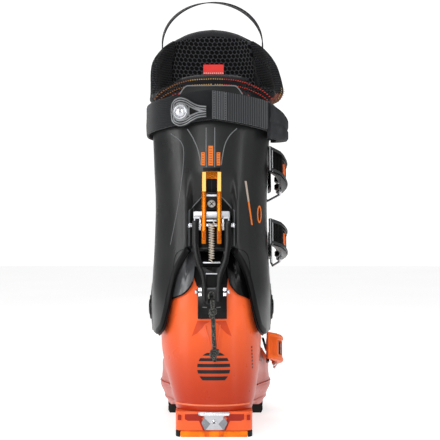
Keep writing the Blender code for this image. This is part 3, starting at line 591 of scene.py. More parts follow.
def split_finish(obj, finish, chosen):
    """Another material on the faces that chosen(point in mm) picks."""
    obj.data.materials.append(finish)
    for face in obj.data.polygons:
        if chosen(face.center / MM):
            face.material_index = len(obj.data.materials) - 1


def ring_faces(rings, sides, start=0):
    """Faces that join rings of points one to the next, with a flat cap at each end."""
    faces = []
    for low in range(start, start + (rings - 1) * sides, sides):
        for a, b in zip(range(low, low + sides), [*range(low + 1, low + sides), low]):
            faces.append((a, b, b + sides, a + sides))
    last = start + (rings - 1) * sides
    return [*faces, tuple(range(start, start + sides)), tuple(range(last, last + sides))]


def loft(name, points, sides, *looks, **more):
    return piece(name, points, ring_faces(len(points) // sides, sides), *looks, **more)


def ribbon(name, path, wide, thick, *looks):
    """A band along path, a list of (point, outward normal).

    wide is the reach to each side, or a (left, right) pair, or a list with the reach at each point.
    """
    points = []
    for k, (at, normal) in enumerate(path):
        before, after = path[max(k - 1, 0)][0], path[min(k + 1, len(path) - 1)][0]
        side = (after - before).cross(normal).normalized()
        reach = wide[k] if isinstance(wide, list) else wide
        left, right = reach if isinstance(reach, tuple) else (reach, reach)
        rise = normal.normalized() * thick
        lower, upper = at - side * left, at + side * right
        middle = (lower + upper) / 2
        points += [lower, lower + rise * 0.6, middle + rise, upper + rise * 0.6, upper, middle - rise * 0.2]
    return loft(name, points, 6, *looks)


def tube(name, path, radius, *looks, sides=8, **more):
    """A round bar along points."""
    points = []
    path = [Vector(p) for p in path]
    across = None
    for k, at in enumerate(path):
        along = (path[min(k + 1, len(path) - 1)] - path[max(k - 1, 0)]).normalized()
        across = along.orthogonal() if across is None else across - along * across.dot(along)
        across.normalize()
        other = along.cross(across)
        points += [at + (across * c + other * s) * radius for c, s in circle(sides)]
    return loft(name, points, sides, *looks, **more)


def disc(name, centre, axis, profile, sides, *looks):
    """A turned piece: profile is (distance along the axis, radius)."""
    axis = Vector(axis).normalized()
    across = axis.orthogonal().normalized()
    other = axis.cross(across)
    points = []
    for along, radius in profile:
        middle = Vector(centre) + axis * along
        points += [middle + (across * c + other * s) * radius for c, s in circle(sides)]
    return loft(name, points, sides, *looks)


def plate(name, outline, y, low, high, *looks, width=0.0):
    """A flat plate on a rear face at depth y: its outline, and how far its two faces stand out of it."""
    made = loft(name, [(x, y - level, h) for level in (low, high) for x, h in outline], len(outline), *looks)
    if width:
        bevel(made, width)


def block(name, low, high, width, *looks):
    outline = rectangle(low[0], low[2], high[0], high[2])
    plate(name, outline, 0, -low[1], -high[1], *looks, width=width)


def screw_slot(name, head, y, long, wide, *looks):
    """The two crossed slots in a screw's head."""
    for n in range(2):
        turn = pi / 4 + n * pi / 2
        along, across = Vector((cos(turn), sin(turn))) * long, Vector((-sin(turn), cos(turn))) * wide
        ring = [along + across, across - along, -along - across, along - across]
        plate(f"{name}_{n + 1}", [(head.x + p.x, head.z + p.y) for p in ring], y, *looks)


def normal_of(face, x, h):
    """The outward normal of a rear face given as face(x, h)."""
    return (face(x + 0.5, h) - face(x - 0.5, h)).cross(face(x, h + 0.5) - face(x, h - 0.5)).normalized()


def on_face(face, route, lift=0.0):
    """(point, normal) pairs along a route of (across, up) places on a rear face."""
    pairs = ((face(x, h), normal_of(face, x, h)) for x, h in route)
    return [(at + normal * lift, normal) for at, normal in pairs]


def curve_through(route, steps):
    """A smooth route through a few places, at even steps."""
    found = []
    last = len(route) - 1
    for k in range(steps + 1):
        n = min(int(k / steps * last), last - 1)
        t = k / steps * last - n
        a, b, c, d = (Vector(route[min(max(m, 0), last)]) for m in (n - 1, n, n + 1, n + 2))
        square, cube = 2 * a - 5 * b + 4 * c - d, 3 * b - a - 3 * c + d
        found.append(0.5 * (2 * b + (c - a) * t + square * t**2 + cube * t**3))
    return found


def eased(route, steps):
    """A smooth route through places across and up."""
    return [(p.x, p.y) for p in curve_through([(*q, 0) for q in route], steps)]


def straight(start, end, steps):
    return [tuple(mix(a, b, k / steps) for a, b in zip(start, end)) for k in range(steps + 1)]


def decal(name, face, outline, lift, *looks, grid=1.2):
    """A thin printed patch on a rear face, cut to an outline of (across, up) places."""
    shape = bmesh.new()
    flat = shape.faces.new([shape.verts.new((x, h, 0)) for x, h in outline])
    if flat.normal.z < 0:
        flat.normal_flip()
    for axis in (0, 1):
        low, high = (end(p[axis] for p in outline) for end in (min, max))
        for n in range(1, int((high - low) / grid) + 1):
            at = Vector((0, 0, 0))
            at[axis] = low + n * grid
            cut = shape.verts[:] + shape.edges[:] + shape.faces[:]
            bmesh.ops.bisect_plane(shape, geom=cut, plane_co=at, plane_no=Vector((1 - axis, axis, 0)))
    shape.verts.index_update()
    route = [v.co.xy for v in shape.verts]
    points = [at for level in (lift, -0.35) for at, _ in on_face(face, route, level)]
    faces = []
    for f in shape.faces:
        ring = [v.index for v in f.verts]
        faces += [tuple(ring), tuple(len(route) + k for k in reversed(ring))]
    for e in shape.edges:
        if len(e.link_faces) == 1:
            a, b = (v.index for v in e.verts)
            faces.append((a, b, b + len(route), a + len(route)))
    shape.free()
    return piece(name, points, faces, *looks)


# Cord

CORD_ROUTE = [
    (-1.3, -55.4, 127), (-1.2, -56.0, 121), (-0.9, -55.6, 112), (-0.3, -53.5, 98), (0.3, -52, 84),
    (0.5, -51.5, 71),
]
CORD_R = 2.0
KNOT_STRAND = 1.6
# Height of a knot's middle, half its height and its radius
KNOTS = ((116, 5, 4.0), (79, 4.5, 4.6))


def cord():
    """The braided release cord, and the turns of the knot near each end of it."""
    path = curve_through(CORD_ROUTE, 28)
    data = bpy.data.curves.new("release_cord", "CURVE")
    data.dimensions = "3D"
    data.bevel_depth = CORD_R * MM
    data.bevel_resolution = 4
    data.use_fill_caps = True
    line = data.splines.new("POLY")
    line.points.add(len(path) - 1)
    for point, at in zip(line.points, path):
        point.co = (*(at * MM), 1)
    data.materials.append(CORD)
    obj = add_object("release_cord", data)
    place_on(obj, "walk_lever", "cord_black", "pull_cord")
    for n, (height, half, wide) in enumerate(KNOTS):
        turns = []
        for k in range(61):
            share = k / 60
            turn = 2 * pi * (2.6 * share + 0.2)
            h = height + half * (0.62 - 1.24 * share) + 1.1 * cos(turn)
            centre = min(path, key=lambda p: abs(p.z - h))
            reach = (wide - 1.5) * (0.72 + 0.28 * sin(pi * share))
            turns.append((centre.x + reach * cos(turn), centre.y + reach * sin(turn), h))
        looks = (CORD, "walk_lever", "cord_black")
        tube(f"cord_knot_{n + 1}", turns, KNOT_STRAND, *looks, sides=10)


cord()

# Lower shell


def both_sides(steps):
    there = [(1, k / steps) for k in range(steps + 1)]
    return there + [(-1, k / steps) for k in range(steps - 1, 0, -1)]


def shell_bottom(y):
    return mix(24, 12.4, soft((y - 62) / 50))


def shell_face(side, s, h, out=0.0):
    """The shell's outside with its moulded detail: the step under the block, a waist, and side panels."""
    p = shell_point(side, s, h, out)
    p.y += soft(-p.y / 20) * heel_shelf(p.x, h)
    panel = soft((p.y - 20) / 30) * soft((240 - p.y) / 40)
    p.x += side * panel * (1.3 * bump(h, 30, 8) - 2.2 * bump(h, 50 - 0.05 * p.y, 16))
    return p


def lower_shell():
    def outer(u, t):
        return shell_face(*u, mix(shell_bottom(foot_point(*u, 24, 0).y), SHELL_TOP, t))

    def inner(u, t):
        return shell_point(*u, mix(30, SHELL_TOP, t), -4)

    wall("shell", outer, inner, both_sides(90), 64, *ON_SHELL, "lower_shell", floor=True)


def inner_boot():
    def outer(u, t):
        return shell_point(*u, mix(36, SHELL_TOP - 1, t), -6 + 0.6 * bump(t % 0.12, 0.06, 0.05))

    def inner(u, t):
        return shell_point(*u, mix(39, SHELL_TOP - 1, t), -10)

    looks = (LINING, "lower", "liner_fabric", "liner_foot")
    wall("inner_boot_foot", outer, inner, both_sides(48), 40, *looks, floor=True, mapped=True)


def flap():
    """The overlap flap over the instep, with a rolled lip."""

    def outer(u, t):
        roll = 0.8 * (2 - soft((5 - abs(u)) / 0.5) - soft(t / 0.1))
        return shell_point(sided(u), 1 - abs(u) / 18, mix(62, 112, t), 4.2 - roll)

    def inner(u, t):
        return shell_point(sided(u), 1 - abs(u) / 18, mix(62, 112, t), 1.6)

    columns = [-5 + 10 * k / 24 for k in range(25)]
    wall("instep_cover", outer, inner, columns, 24, *ON_SHELL, "instep_flap", ring=False)


def vamp_panels():
    """A raised panel line along each side of the forefoot, and a rib above the sole."""
    for side, word in SIDES:
        for name, start, end, wide in (
            ("sole_rib", (0.3, 20), (0.9, 17), 1.3), ("side_rib", (0.42, 36), (0.86, 30), 0.8),
        ):
            path = []
            for s, h in straight(start, end, 40):
                p = shell_face(side, s, h, 0.1)
                path.append((p, shell_face(side, s, h, 2) - p))
            ribbon(f"{name}_{word}", path, wide, 0.9, *ON_SHELL)


def heel_face(x, h):
    return shell_rear(x, h) + Vector((0, heel_shelf(x, h), 0))


def emblem():
    """A disc of horizontal stripes on the back of the heel."""
    x, middle, radius = -0.3, 63.9, 15.2
    for n, (h, half) in enumerate(((12.6, 2.1), (7.6, 2.2), (2.2, 2.4), (-3.6, 2.6), (-9.6, 2.8))):
        low, high = (asin(edge / radius) for edge in (h - half / 1.6, h + half / 1.6))
        turn = [mix(low, high, k / 6) for k in range(7)]
        right = [(x + radius * cos(a), middle + radius * sin(a)) for a in turn]
        left = [(2 * x - reach, h) for reach, h in reversed(right)]
        decal(f"heel_emblem_{n + 1}", heel_face, right + left, 0.14, PRINT_BLACK, "lower")


def heel_details():
    """The ledge with its painted highlight, ridges, patches of painted shade under the lock block, and marks
    on the back of the shell.
    """
    ridges = ([(-8.1, 102.6), (-5.6, 94), (-3.7, 85.8)], [(5.6, 103.5), (4.0, 92), (2.9, 82.3)])
    for n, route in enumerate(ridges):
        ribbon(f"heel_ridge_{n + 1}", on_face(heel_face, eased(route, 16)), 0.7, 0.9, *ON_SHELL)
    for side, word in SIDES:
        # heel_shade: patches of painted shade in darker orange at the step under the lock block.
        places = [(1 + side * 0.5, 107), (13.2, 107), (18.5, 92.5), (13.5, 95.5), (8.6, 100.5), (6.2, 104)]
        decal(f"heel_shade_{word}", heel_face, mirrored(side, places), 0.12, SHADE, "lower")
    # A painted highlight along the top of the heel's ledge.
    ledge = straight((-35, 29.3), (33, 29.3), 40)
    ribbon("heel_ledge", on_face(heel_face, ledge), 0.8, 0.7, LEDGE_HIGHLIGHT, "lower", "orange_shell")
    emblem()
    for n, (x, h) in enumerate(straight((35.2, 81), (35.92, 62), 6)):
        outline = rectangle(x - 0.5, h - 0.9, x + 0.5, h + 0.9)
        decal(f"side_dash_{n + 1}", heel_face, outline, 0.1, PRINT_BLACK, "lower")


lower_shell()
inner_boot()
flap()
vamp_panels()
heel_details()

# Heel and soles

HEEL_BACK = -36.0
INSERT_X = 0.4


def heel():
    """The heel block with plates of painted shade where its recesses are, the amber pad's bars, and the plate
    of the binding insert with painted shade on its cheeks and a painted highlight on its bar.
    """
    wing = [
        (8.8, 21.3), (27.3, 21.3), (27.3, 16.6), (24.5, 15.2), (14.2, 15.2),
        (10.6, 6.4), (5.8, 6.4), (9.6, 15.4), (12.2, 16.8), (10.2, 19.2),
    ]
    notch, pad_bar = rectangle(30.4, 15.8, 33.4, 20.6), [(4.6, 5.6), (9.9, 5.6), (8.2, 0.4), (4.6, 0.4)]
    cheek = [(9.6, 18.4), (12.0, 13.5), (8.6, 6.6), (3.6, 12.6)]
    front = box_mm("heel_tech_insert")[0].y
    for side, word in SIDES:
        for name, places, middle, y, low, high, finish, width in (
            # heel_recess and heel_notch: plates of painted shade where the heel's recesses are.
            ("heel_recess", wing, INSERT_X, HEEL_BACK, 0.02, 0.28, RECESS_SHADE, 0.1),
            ("heel_notch", notch, 0, HEEL_BACK + 3.2, -0.3, 3.35, RECESS_SHADE, 0.2),
            ("heel_pad_bar", pad_bar, 0, HEEL_BACK, 0.05, 0.4, AMBER_DARK, 0.1),
            # insert_cheek: painted shade on the insert's polished faces.
            ("insert_cheek", cheek, INSERT_X, front, 0.02, 0.3, INSERT_SHADE, 0.1),
        ):
            outline = mirrored(side, places, middle)
            plate(f"{name}_{word}", outline, y, low, high, finish, "lower", width=width)
    for name, *looks in (
        ("heel_block", HEEL_ORANGE, 0.7, 3), ("heel_sole", RUBBER, 0.5), ("heel_pad", AMBER, 0.3),
        ("heel_tech_insert", BRUSHED, 0.45, 3), ("heel_insert_screw", SILVER, 0.4),
        ("toe_tech_insert", BRUSHED, 0.5), ("boot_board", GLOSS, 0.4),
    ):
        repaint(name, *looks)
    # The insert's top bar: a painted highlight in paler metal.
    bar = [(-13.4, 22.4), (14.4, 22.4), (13.6, 20.2), (-12.6, 20.2)]
    plate("insert_bar", bar, front, 0.02, 0.45, INSERT_HIGHLIGHT, "lower", width=0.15)
    low, high = box_mm("heel_insert_screw")
    screw_slot("heel_screw_slot", (low + high) / 2, low.y, 1.7, 0.32, -0.3, 0.06, GLOSS, "lower")


def toe_sole():
    """The forefoot sole: a rounded rubber tread with lugs cut by cross channels."""
    low, high = box_mm("toe_sole")
    ring = [u for u in both_sides(72) if foot_point(*u, 12, 0).y > low.y]
    outline = [u for u in ring if u[0] > 0] + [u for u in ring if u[0] < 0]
    points = []
    for h in (0.0, 0.5, 1.5, 3.0, 6.0, 7.2, 7.8, 8.4, 9.6, high.z):
        for u in outline:
            p = foot_point(*u, 12, 0.2 - 1.4 * (1 - soft(h / 3)))
            groove = 0.9 * bump(h, 7.6, 0.9)
            lug = 0.7 * bump((p.y / 9) % 1, 0.5, 0.25) * soft((6 - h) / 1.5)
            points.append(Vector((p.x - (1 if p.x > 0 else -1) * (groove + lug), p.y, h)))
    loft("forefoot_sole", points, len(outline), RUBBER, "lower", "rubber_black", "toe_sole")


heel()
toe_sole()

# Lock block

LOCK_REACH = 97.2


def lock_block():
    """The block that the lock bar hooks on, with its pins and the small marks on its back."""
    repaint("lock_block", GLOSS, 0.9, 3)
    low, high = box_mm("lock_block")

    def face(x, h):
        return Vector((x, PIVOT_Y - sqrt(LOCK_REACH**2 - (h - PIVOT_Z) ** 2), h))

    for side, word in SIDES:
        repaint(f"lock_pin_{word}", SILVER, 0.4)
        edge = high.x if side > 0 else low.x
        for n, h in enumerate((136.2, 131.8)):
            outline = mirrored(-side, rectangle(0.5, h - 1.4, 3.4, h + 1.4), edge)
            decal(f"lock_clip_{word}_{n + 1}", face, outline, 0.5, SILVER, "lower")
        mark = mirrored(side, [(4.2, 119.6), (8.2, 119.9), (8.2, 120.7), (4.2, 120.4)])
        decal(f"lock_mark_{word}", face, mark, 0.12, GROOVE, "lower")
        decal(f"lock_rib_{word}", face, mirrored(side, rectangle(5.6, 123.5, 6.8, 137)), 0.7, GLOSS, "lower")


lock_block()

# Cuff

# Columns of the cuff, in degrees from the rear: every 4, and every 2 where the recess and the arch are
ANGLES = sorted({*range(-176, 181, 4), *(side * a for side, _ in SIDES for a in (*range(10, 43, 4), 50))})


def cuff_face(a, h, out=0.0):
    """The cuff's outside: shoulders over the recess, soft facets down the back, and a boss at the pivot."""
    p = cuff_point(a, h, out)
    if abs(a) < 75:
        p.y -= shoulder(p.x, h)
    p.y += facet(a, h)
    boss = 1.1 * bump(hypot(p.y - PIVOT_Y, h - PIVOT_Z), 0, 34)
    p.x += (1 if a > 0 else -1) * boss * soft((abs(a) - 60) / 10)
    return p


def cuff_back(x, h):
    """The cuff's detailed rear face at a place across and up."""
    p = cuff_rear(x, h)
    p.y += facet(cuff_angle(x, table(CUFF_HALF, h)), h) - shoulder(x, h)
    return p


def cuff():
    def height(a, t):
        return mix(table(CUFF_BOTTOM, abs(a)), mix(288, 302, (1 + cos(radians(a))) / 2), t)

    def outer(a, t):
        return cuff_face(a, height(a, t))

    def inner(a, t):
        return cuff_point(a, height(a, t), -3.5)

    wall("cuff", outer, inner, ANGLES, 60, *ON_CUFF, "cuff_shell")


def cuff_trim():
    """The black lip round the arch, the seam beside it, and the rim and floor of the recess."""
    seam = [(20.9, 174.5), (33, 168), (36.5, 146), (39.6, 124), (44.5, 104)]
    rim_line = [(9.3, 222.6), (14.5, 217.2), (19.6, 210.4), (20.2, 200), (20.2, 176)]
    fill = [
        (9.0, 220.8), (14, 215.8), (18.8, 209.6), (19.2, 200), (19.2, 174.5), (0.2, 174.5), (0.2, 243),
        (9.0, 243),
    ]
    for side, word in SIDES:
        lip, inner = [], []
        for k in range(45):
            a = side * mix(17, 61, k / 44)
            bottom = table(CUFF_BOTTOM, abs(a))
            p = cuff_face(a, bottom + 1.6)
            lip.append((p, cuff_face(a, bottom + 1.6, 2) - p))
            p = cuff_point(a, bottom - 0.6, -2.6)
            inner.append((p, cuff_point(a, bottom - 0.6, 0) - p))
        ribbon(f"arch_lip_{word}", lip, 2.6, 1.6, *DARK_TRIM)
        ribbon(f"arch_return_{word}", inner, 1.8, 1.8, *DARK_TRIM)
        line = on_face(cuff_back, eased(mirrored(side, seam), 40), 0.02)
        ribbon(f"panel_seam_{word}", line, 0.35, 0.25, LIP, "cuff")
        line = on_face(cuff_back, eased(mirrored(side, rim_line), 40), 0.1)
        ribbon(f"recess_edge_{word}", line, 0.55, 0.7, *ON_CUFF)
        decal(f"recess_floor_{word}", cuff_back, mirrored(side, fill), 0.12, LIP, "cuff")


def cuff_lines():
    """Fine raised lines and the printed strips over the walk mechanism."""
    routes = {
        "left_line": [(-25, 285), (-19.5, 276), (-14.6, 264), (-12.3, 251)],
        "right_line": [(21.2, 285.5), (14, 278), (9.5, 268), (6.6, 251)],
        "left_channel": [(-7.4, 286), (-7.4, 268), (-7.2, 249)],
        "right_channel": [(0.6, 286), (0.6, 268), (0.6, 249)],
        "far_line": [
            (-40.7, 281), (-31, 273), (-28.2, 262), (-30, 238), (-33.3, 214), (-37.5, 192), (-40.7, 177),
        ],
    }
    for name, route in routes.items():
        wide = 0.3 if name == "far_line" else 0.42
        ribbon(name, on_face(cuff_back, eased(route, 48), -0.1), wide, 0.5, GROOVE, "cuff", "cuff_black")
    strips = ((-11.9, -8.5, 250.5, 262.8), (-5.3, -0.9, 250.5, 268.9), (2.3, 5.7, 250.5, 262.8))
    for n, (left, right, low, high) in enumerate(strips):
        strip = rectangle(left, low, right, high)
        decal(f"orange_strip_{n + 1}", cuff_back, strip, 0.3, PRINT_ORANGE, "cuff")
        for k in range(int((high - low) / 2.4)):
            h = low + 1.6 + 2.3 * k
            if h + 1 < high:
                bar = rectangle(left + 0.8, h, right - 0.8, h + 0.55)
                decal(f"strip_{n + 1}_bar_{k + 1}", cuff_back, bar, 0.34, PRINT_DARK, "cuff")
    decal("fork_slot", cuff_back, rectangle(-10.1, 244.4, 5.6, 248.6), 0.1, LIP, "cuff")
    upper = [(28.4, 236.4), (30.2, 236.4), (33.0, 217), (31.4, 217)]
    lower = [(31.4, 216.8), (33.0, 216.8), (36.1, 195.3), (34.8, 195.3)]
    decal("slant_upper", cuff_back, upper, 0.12, PRINT_PALE, "cuff")
    decal("slant_lower", cuff_back, lower, 0.12, PRINT_ORANGE, "cuff")
    for name, wide, tall, lift, finish in (
        ("side_mark", 2.2, 8.4, 0.14, PRINT_ORANGE), ("side_mark_core", 1.1, 6.4, 0.2, CUFF),
    ):
        ring = [(42.6 + wide * c, 205.3 + tall * s) for c, s in circle(24)]
        decal(name, cuff_back, ring, lift, finish, "cuff", grid=2.0)


def skirt():
    """The glossy black panels that close the arch: pale grey on the medial side with a painted reflection,
    dark behind the lever and beyond it.
    """
    low_by = [(0, 157), (15.1, 157), (15.9, 146), (20, 137), (26, 131), (31.5, 128.5), (36, 126.5)]

    def face(half, reach, back):
        def at(x, t):
            off = abs(x - LEG_X)
            low, top = table(low_by, off), table(CUFF_BOTTOM, cuff_angle(x, 55.6)) + 5
            h = mix(low, top, t)
            # Behind the lock block the skirt keeps to the ball, so that it can slide in the block's slot.
            start = mix(169.5, mix(low, top, 0.15), soft((off - 19) / 5))
            share = soft((h - start) / max(top - start, 1.0))
            return Vector((x, mix(ball_rear(x, h, half, reach), cuff_rear(x, h).y + back, share), h))

        return at

    columns = [LEG_X + k * 0.75 - 36 for k in range(97)]
    outer, inner = face(51.5, 90.1, 4.2), face(50.5, 88.7, 5.6)
    looks = (SKIRT_REFLECTION, "cuff", "gloss_black", "cuff_rear_skirt")
    skin = wall("arch_skirt", outer, inner, columns, 24, *looks, ring=False)
    # The medial side is a painted reflection in pale grey; the rest stays glossy black.
    split_finish(skin, GLOSS, lambda p: p.x > LEG_X - 13)
    for side, word in SIDES:
        edge = [outer(LEG_X + side * mix(17, 36, k / 40), 0.012) for k in range(41)]
        path = [(p, p - Vector((LEG_X, PIVOT_Y, PIVOT_Z))) for p in edge]
        ribbon(f"skirt_edge_{word}", path, (0.8, 0.5), 0.6, *DARK_TRIM)


def spoiler():
    def top(a):
        return 327 - 27 * soft((abs(a) - 20) / 26)

    def face(inset, roll):
        def at(a, t):
            pull = roll * (1 - soft((44 - abs(a)) / 3))
            return cuff_point(a, mix(272, top(a), t), -inset - pull, recess=False)

        return at

    columns = [k * 2 - 44 for k in range(45)]
    wall("rear_panel", face(3.8, 0.7), face(6.2, 0), columns, 24, *ON_CUFF, "rear_spoiler", ring=False)
    # A painted highlight in grey along the panel's top edge.
    path = []
    for k in range(81):
        a = mix(-43.4, 43.4, k / 80)
        p, q = (cuff_point(a, top(a) - 0.4, out, recess=False) for out in (-3.8, -2))
        path.append((p, q - p))
    ribbon("rear_panel_edge", path, 0.5, 0.5, RIM_HIGHLIGHT, "cuff", "cuff_black")


def pivots():
    """The round cap over each pivot bolt, and two arcs moulded round it."""
    cap = [
        (0, 12), (0.8, 12), (1.4, 11.4), (1.5, 9.4), (1.1, 9.0), (1.1, 8.4), (1.9, 7.8), (2.5, 6.0),
        (2.6, 3.2), (2.0, 2.8), (2.0, 0.4),
    ]
    core = [(0, 2.7), (0.5, 2.7), (0.7, 2.3), (0.5, 1.4), (0.3, 0.3)]
    for side, word in SIDES:
        start, out = Vector((LEG_X + side * 58.5, PIVOT_Y, PIVOT_Z)), Vector((side, 0, 0))
        disc(f"pivot_cap_{word}", start, out, cap, 48, GLOSS, "cuff", "gloss_black", f"pivot_bolt_{word}")
        disc(f"pivot_core_{word}", start + out * 1.9, out, core, 24, SILVER, "cuff", "silver")
        for n, radius in enumerate((17.5, 23)):
            path = []
            for k in range(61):
                turn = 2 * pi * k / 60 * 0.62 + 0.5 * pi
                y, h = PIVOT_Y + radius * cos(turn), PIVOT_Z + radius * sin(turn) * 0.98
                boss = 1.1 * bump(hypot(y - PIVOT_Y, h - PIVOT_Z), 0, 34)
                share = min(abs(y - PIVOT_Y) / (PIVOT_Y - table(CUFF_REAR, h)), 0.99)
                x = LEG_X + side * (table(CUFF_HALF, h) + boss - 0.2) * oval(share)
                path.append((Vector((x, y, h)), out))
            ribbon(f"pivot_ring_{word}_{n + 1}", path, 0.5, 0.5, *ON_CUFF)


cuff()
cuff_trim()
cuff_lines()
skirt()
spoiler()
pivots()

# Walk mechanism

# (height, depth) down the back of the fork
FORK_LINE = ((178, -48.6), (189, -48.6), (227, -38.5), (245, -31.8))


def fork_face(x, h):
    k = next((n for n in (0, 1) if h < FORK_LINE[n + 1][0]), 2)
    (low, near), (high, far) = FORK_LINE[k : k + 2]
    return Vector((x, mix(near, far, (h - low) / (high - low)), h))


def mechanism():
    """The fork, the axle with its bracket, and the lean plate's screw."""
    repaint("lean_fork", GOLD, 0.7, 3)
    for name in ("main_axle", "axle_lug_lateral", "axle_lug_medial", "spring_upper_bar", "spring_lower_bar"):
        repaint(name, SILVER, 0.3)
    repaint("axle_bracket", BRUSHED, 0.8, 3)
    repaint("lock_bar", GLOSS, 0.9, 3)
    repaint("lean_plate", GLOSS, 0.5)
    low, high = box_mm("axle_bracket")
    middle, front = (low.x + high.x) / 2, low.y
    axle_y = box_mm("main_axle")[0].y + 1.8
    end = [(0, 1.8), (0.2, 2.5), (1.3, 2.6), (1.8, 2.2), (1.9, 0.6)]
    for side, word in SIDES:
        x = middle + side * 13.2
        cheek = (x - 3.1, front - 4.2, 190.6), (x + 3.1, front + 0.3, 203.4)
        window = (x - 1.9, front - 4.45, 198.2), (x + 1.9, front - 4.0, 201.4)
        block(f"axle_block_{word}", *cheek, 0.7, BRUSHED, "cuff", "silver")
        block(f"axle_window_{word}", *window, 0.3, GLOSS, "cuff")
        at = (middle + side * 19.3, axle_y, 195.1)
        disc(f"axle_end_{word}", at, (side, 0, 0), end, 24, SILVER, "cuff")
        groove = mirrored(side, rectangle(5.9, 181.5, 8.1, 190))
        facet_strip = mirrored(side, rectangle(5.4, 226.4, 8.6, 244.2))
        # fork_slot: painted shade in the fork's grooves.
        decal(f"fork_slot_{word}", fork_face, groove, 0.12, GOLD_SHADE, "cuff")
        # fork_facet: painted highlights on the fork's upper facets.
        decal(f"fork_facet_{word}", fork_face, facet_strip, 0.16, GOLD_HIGHLIGHT, "cuff")
    block("fork_crossbar", (MECH_X - 4.9, -37.6, 221.6), (MECH_X + 4.9, -35.2, 223.6), 0.3, BRUSHED, "cuff")
    low, high = box_mm("lean_screw")
    head = Vector(((low.x + high.x) / 2, low.y + 1.3, (low.z + high.z) / 2))
    profile = [(0, 3.7), (1.1, 3.7), (1.5, 3.3), (1.45, 2.6), (0.9, 2.4), (0.9, 0.3)]
    disc("lean_screw_head", head, (0, -1, 0), profile, 32, SCREW_STEEL, "cuff", "silver", "lean_screw")
    screw_slot("lean_screw_slot", head, low.y + 0.3, 2.2, 0.4, -0.4, 0.1, GLOSS, "cuff")


def bar_face(h):
    """Depth of the lock bar's back."""
    return mix(-53.0, -44.0, (h - 121) / 79)


def spring():
    """The return spring: its coil, with a hooked end over each bar."""
    low, high = box_mm("return_spring")
    x, y, radius, end = MECH_X, (low.y + high.y) / 2, 2.55, 1.6
    turns, steps = 14.5, 18
    path = []
    for k in range(int(turns * steps) + 1):
        turn = 2 * pi * k / steps
        h = mix(high.z - end, low.z + end, k / (turns * steps))
        path.append((x + radius * cos(turn), y + radius * sin(turn), h))
    top = [(x + 0.2, y - 0.4, high.z + 2.2), (x + 1.5, y, high.z + 0.6), (x + radius, y, high.z - end)]
    foot = [path[-1], (x + 0.2, y - 1.6, low.z + 0.3), (x + 0.2, y - 0.6, low.z - 1.8)]
    path = [*curve_through(top, 8)[:-1], *path, *curve_through(foot, 8)[1:]]
    tube("spring_coil", path, 0.52, SPRING_STEEL, "walk_lever", "silver", "return_spring", angle=60)


def lock_bar_details():
    """A rib down each arm, the bright edge over the hook window, and the eye for the cord."""
    arm = [(14.9, 196), (14.9, 178), (12.4, 162), (8.3, 151), (6.6, 139), (6.6, 126)]
    corners = [(8.5, 222.5), (21, 208.5), (21, 176)]
    for side, word in SIDES:
        route = curve_through([(x, bar_face(h) + 0.1, h) for x, h in mirrored(side, arm)], 40)
        path = [(p, Vector((0, -1, 0.1))) for p in route]
        ribbon(f"arm_rib_{word}", path, 1.9, 0.8, GLOSS, "walk_lever", "gloss_black")
        ends = mirrored(side, corners)
        route = [at for a, b in zip(ends, ends[1:]) for at in straight(a, b, 12)]
        ribbon(f"recess_rim_{word}", on_face(cuff_rear, route), 0.55, 0.5, GROOVE, "cuff", "cuff_black")
    backing = [(-18.4, 158), (-18.7, 147), (-15.8, 138.6), (11.9, 138.6), (12.9, 147), (12.5, 158)]
    decal("lock_backing", shell_rear, backing, 0.15, LIP, "lower")
    for name, half, height, near, far, low, high, finish in (
        ("window_sill", 5.2, 151, -0.5, 1.2, 150.4, 151.6, BRUSHED),
        ("window_lip", 3.6, 138, -0.5, 1.2, 137.0, 137.9, GROOVE),
        ("window_back", 4.4, 145, 4.0, 5.4, 138.2, 150.6, LIP),
    ):
        y = bar_face(height)
        block(name, (MECH_X - half, y + near, low), (MECH_X + half, y + far, high), 0.3, finish, "walk_lever")
    eye = [(-2.4, -53.6, 128.5), (-2.4, -55.2, 132.5), (0, -56.0, 135)]
    eye += [(-x, y, h) for x, y, h in (eye[1], eye[0])]
    tube("cord_eye", curve_through([(MECH_X + x, y, h) for x, y, h in eye], 24), 0.75, CORD, "walk_lever")


mechanism()
lock_bar_details()
spring()

# Liner, strap and loop

LINER_HALF = [
    (296, 52), (306, 57), (315, 63.6), (325, 65.5), (344, 63.5), (360, 60.5), (368, 58), (378, 55),
    (386, 49.5), (394, 44),
]
LINER_REAR = [(296, -7), (326, -1), (340, 3), (400, 14)]
LINER_FRONT = [(296, 101), (300, 101), (330, 106), (360, 112), (400, 116)]
LINER_MIDDLE = [(296, -3), (312, -1), (325, 2.6), (344, 0.6), (360, -1), (395, -2)]
LINER_N = 2.3
LINER_FOOT = 183
# Tops, as (degrees from the rear, height)
COLLAR_TOP = [(0, 338), (40, 333), (62, 323), (80, 335), (96, 358), (112, 370), (130, 380)]
TONGUE_TOP = [(133, 381), (150, 389), (165, 392.5), (180, 394)]
SEAM = 0.8


def liner_flare(a, h, inset):
    """The liner above the cuff, by the angle from the rear in degrees."""
    turn = radians(a)
    x = table(LINER_MIDDLE, h) + sided(a) * abs(sin(turn)) ** (2 / LINER_N) * (table(LINER_HALF, h) - inset)
    end = table(LINER_REAR, h) + inset if abs(a) <= 90 else table(LINER_FRONT, h) - inset
    return Vector((x, mix(LEG_Y, end, abs(cos(turn)) ** (2 / LINER_N)), h))


def liner_point(a, h, inset=0.0):
    room = 5.7 + inset + 2.6 * soft((h - 255) / 15) * soft((62 - abs(a)) / 14)
    start = mix(326, 307, soft((abs(a) - 46) / 16))
    share = soft((h - start) / mix(16, 10, soft((abs(a) - 50) / 14)))
    return cuff_point(a, h, -room).lerp(liner_flare(a, h, inset), share)


def collar_top(a):
    """The collar is lowest where its back meets its sides."""
    return 338 - 15 * (abs(a) / 62) ** 2.2 if abs(a) < 62 else table(COLLAR_TOP, abs(a))


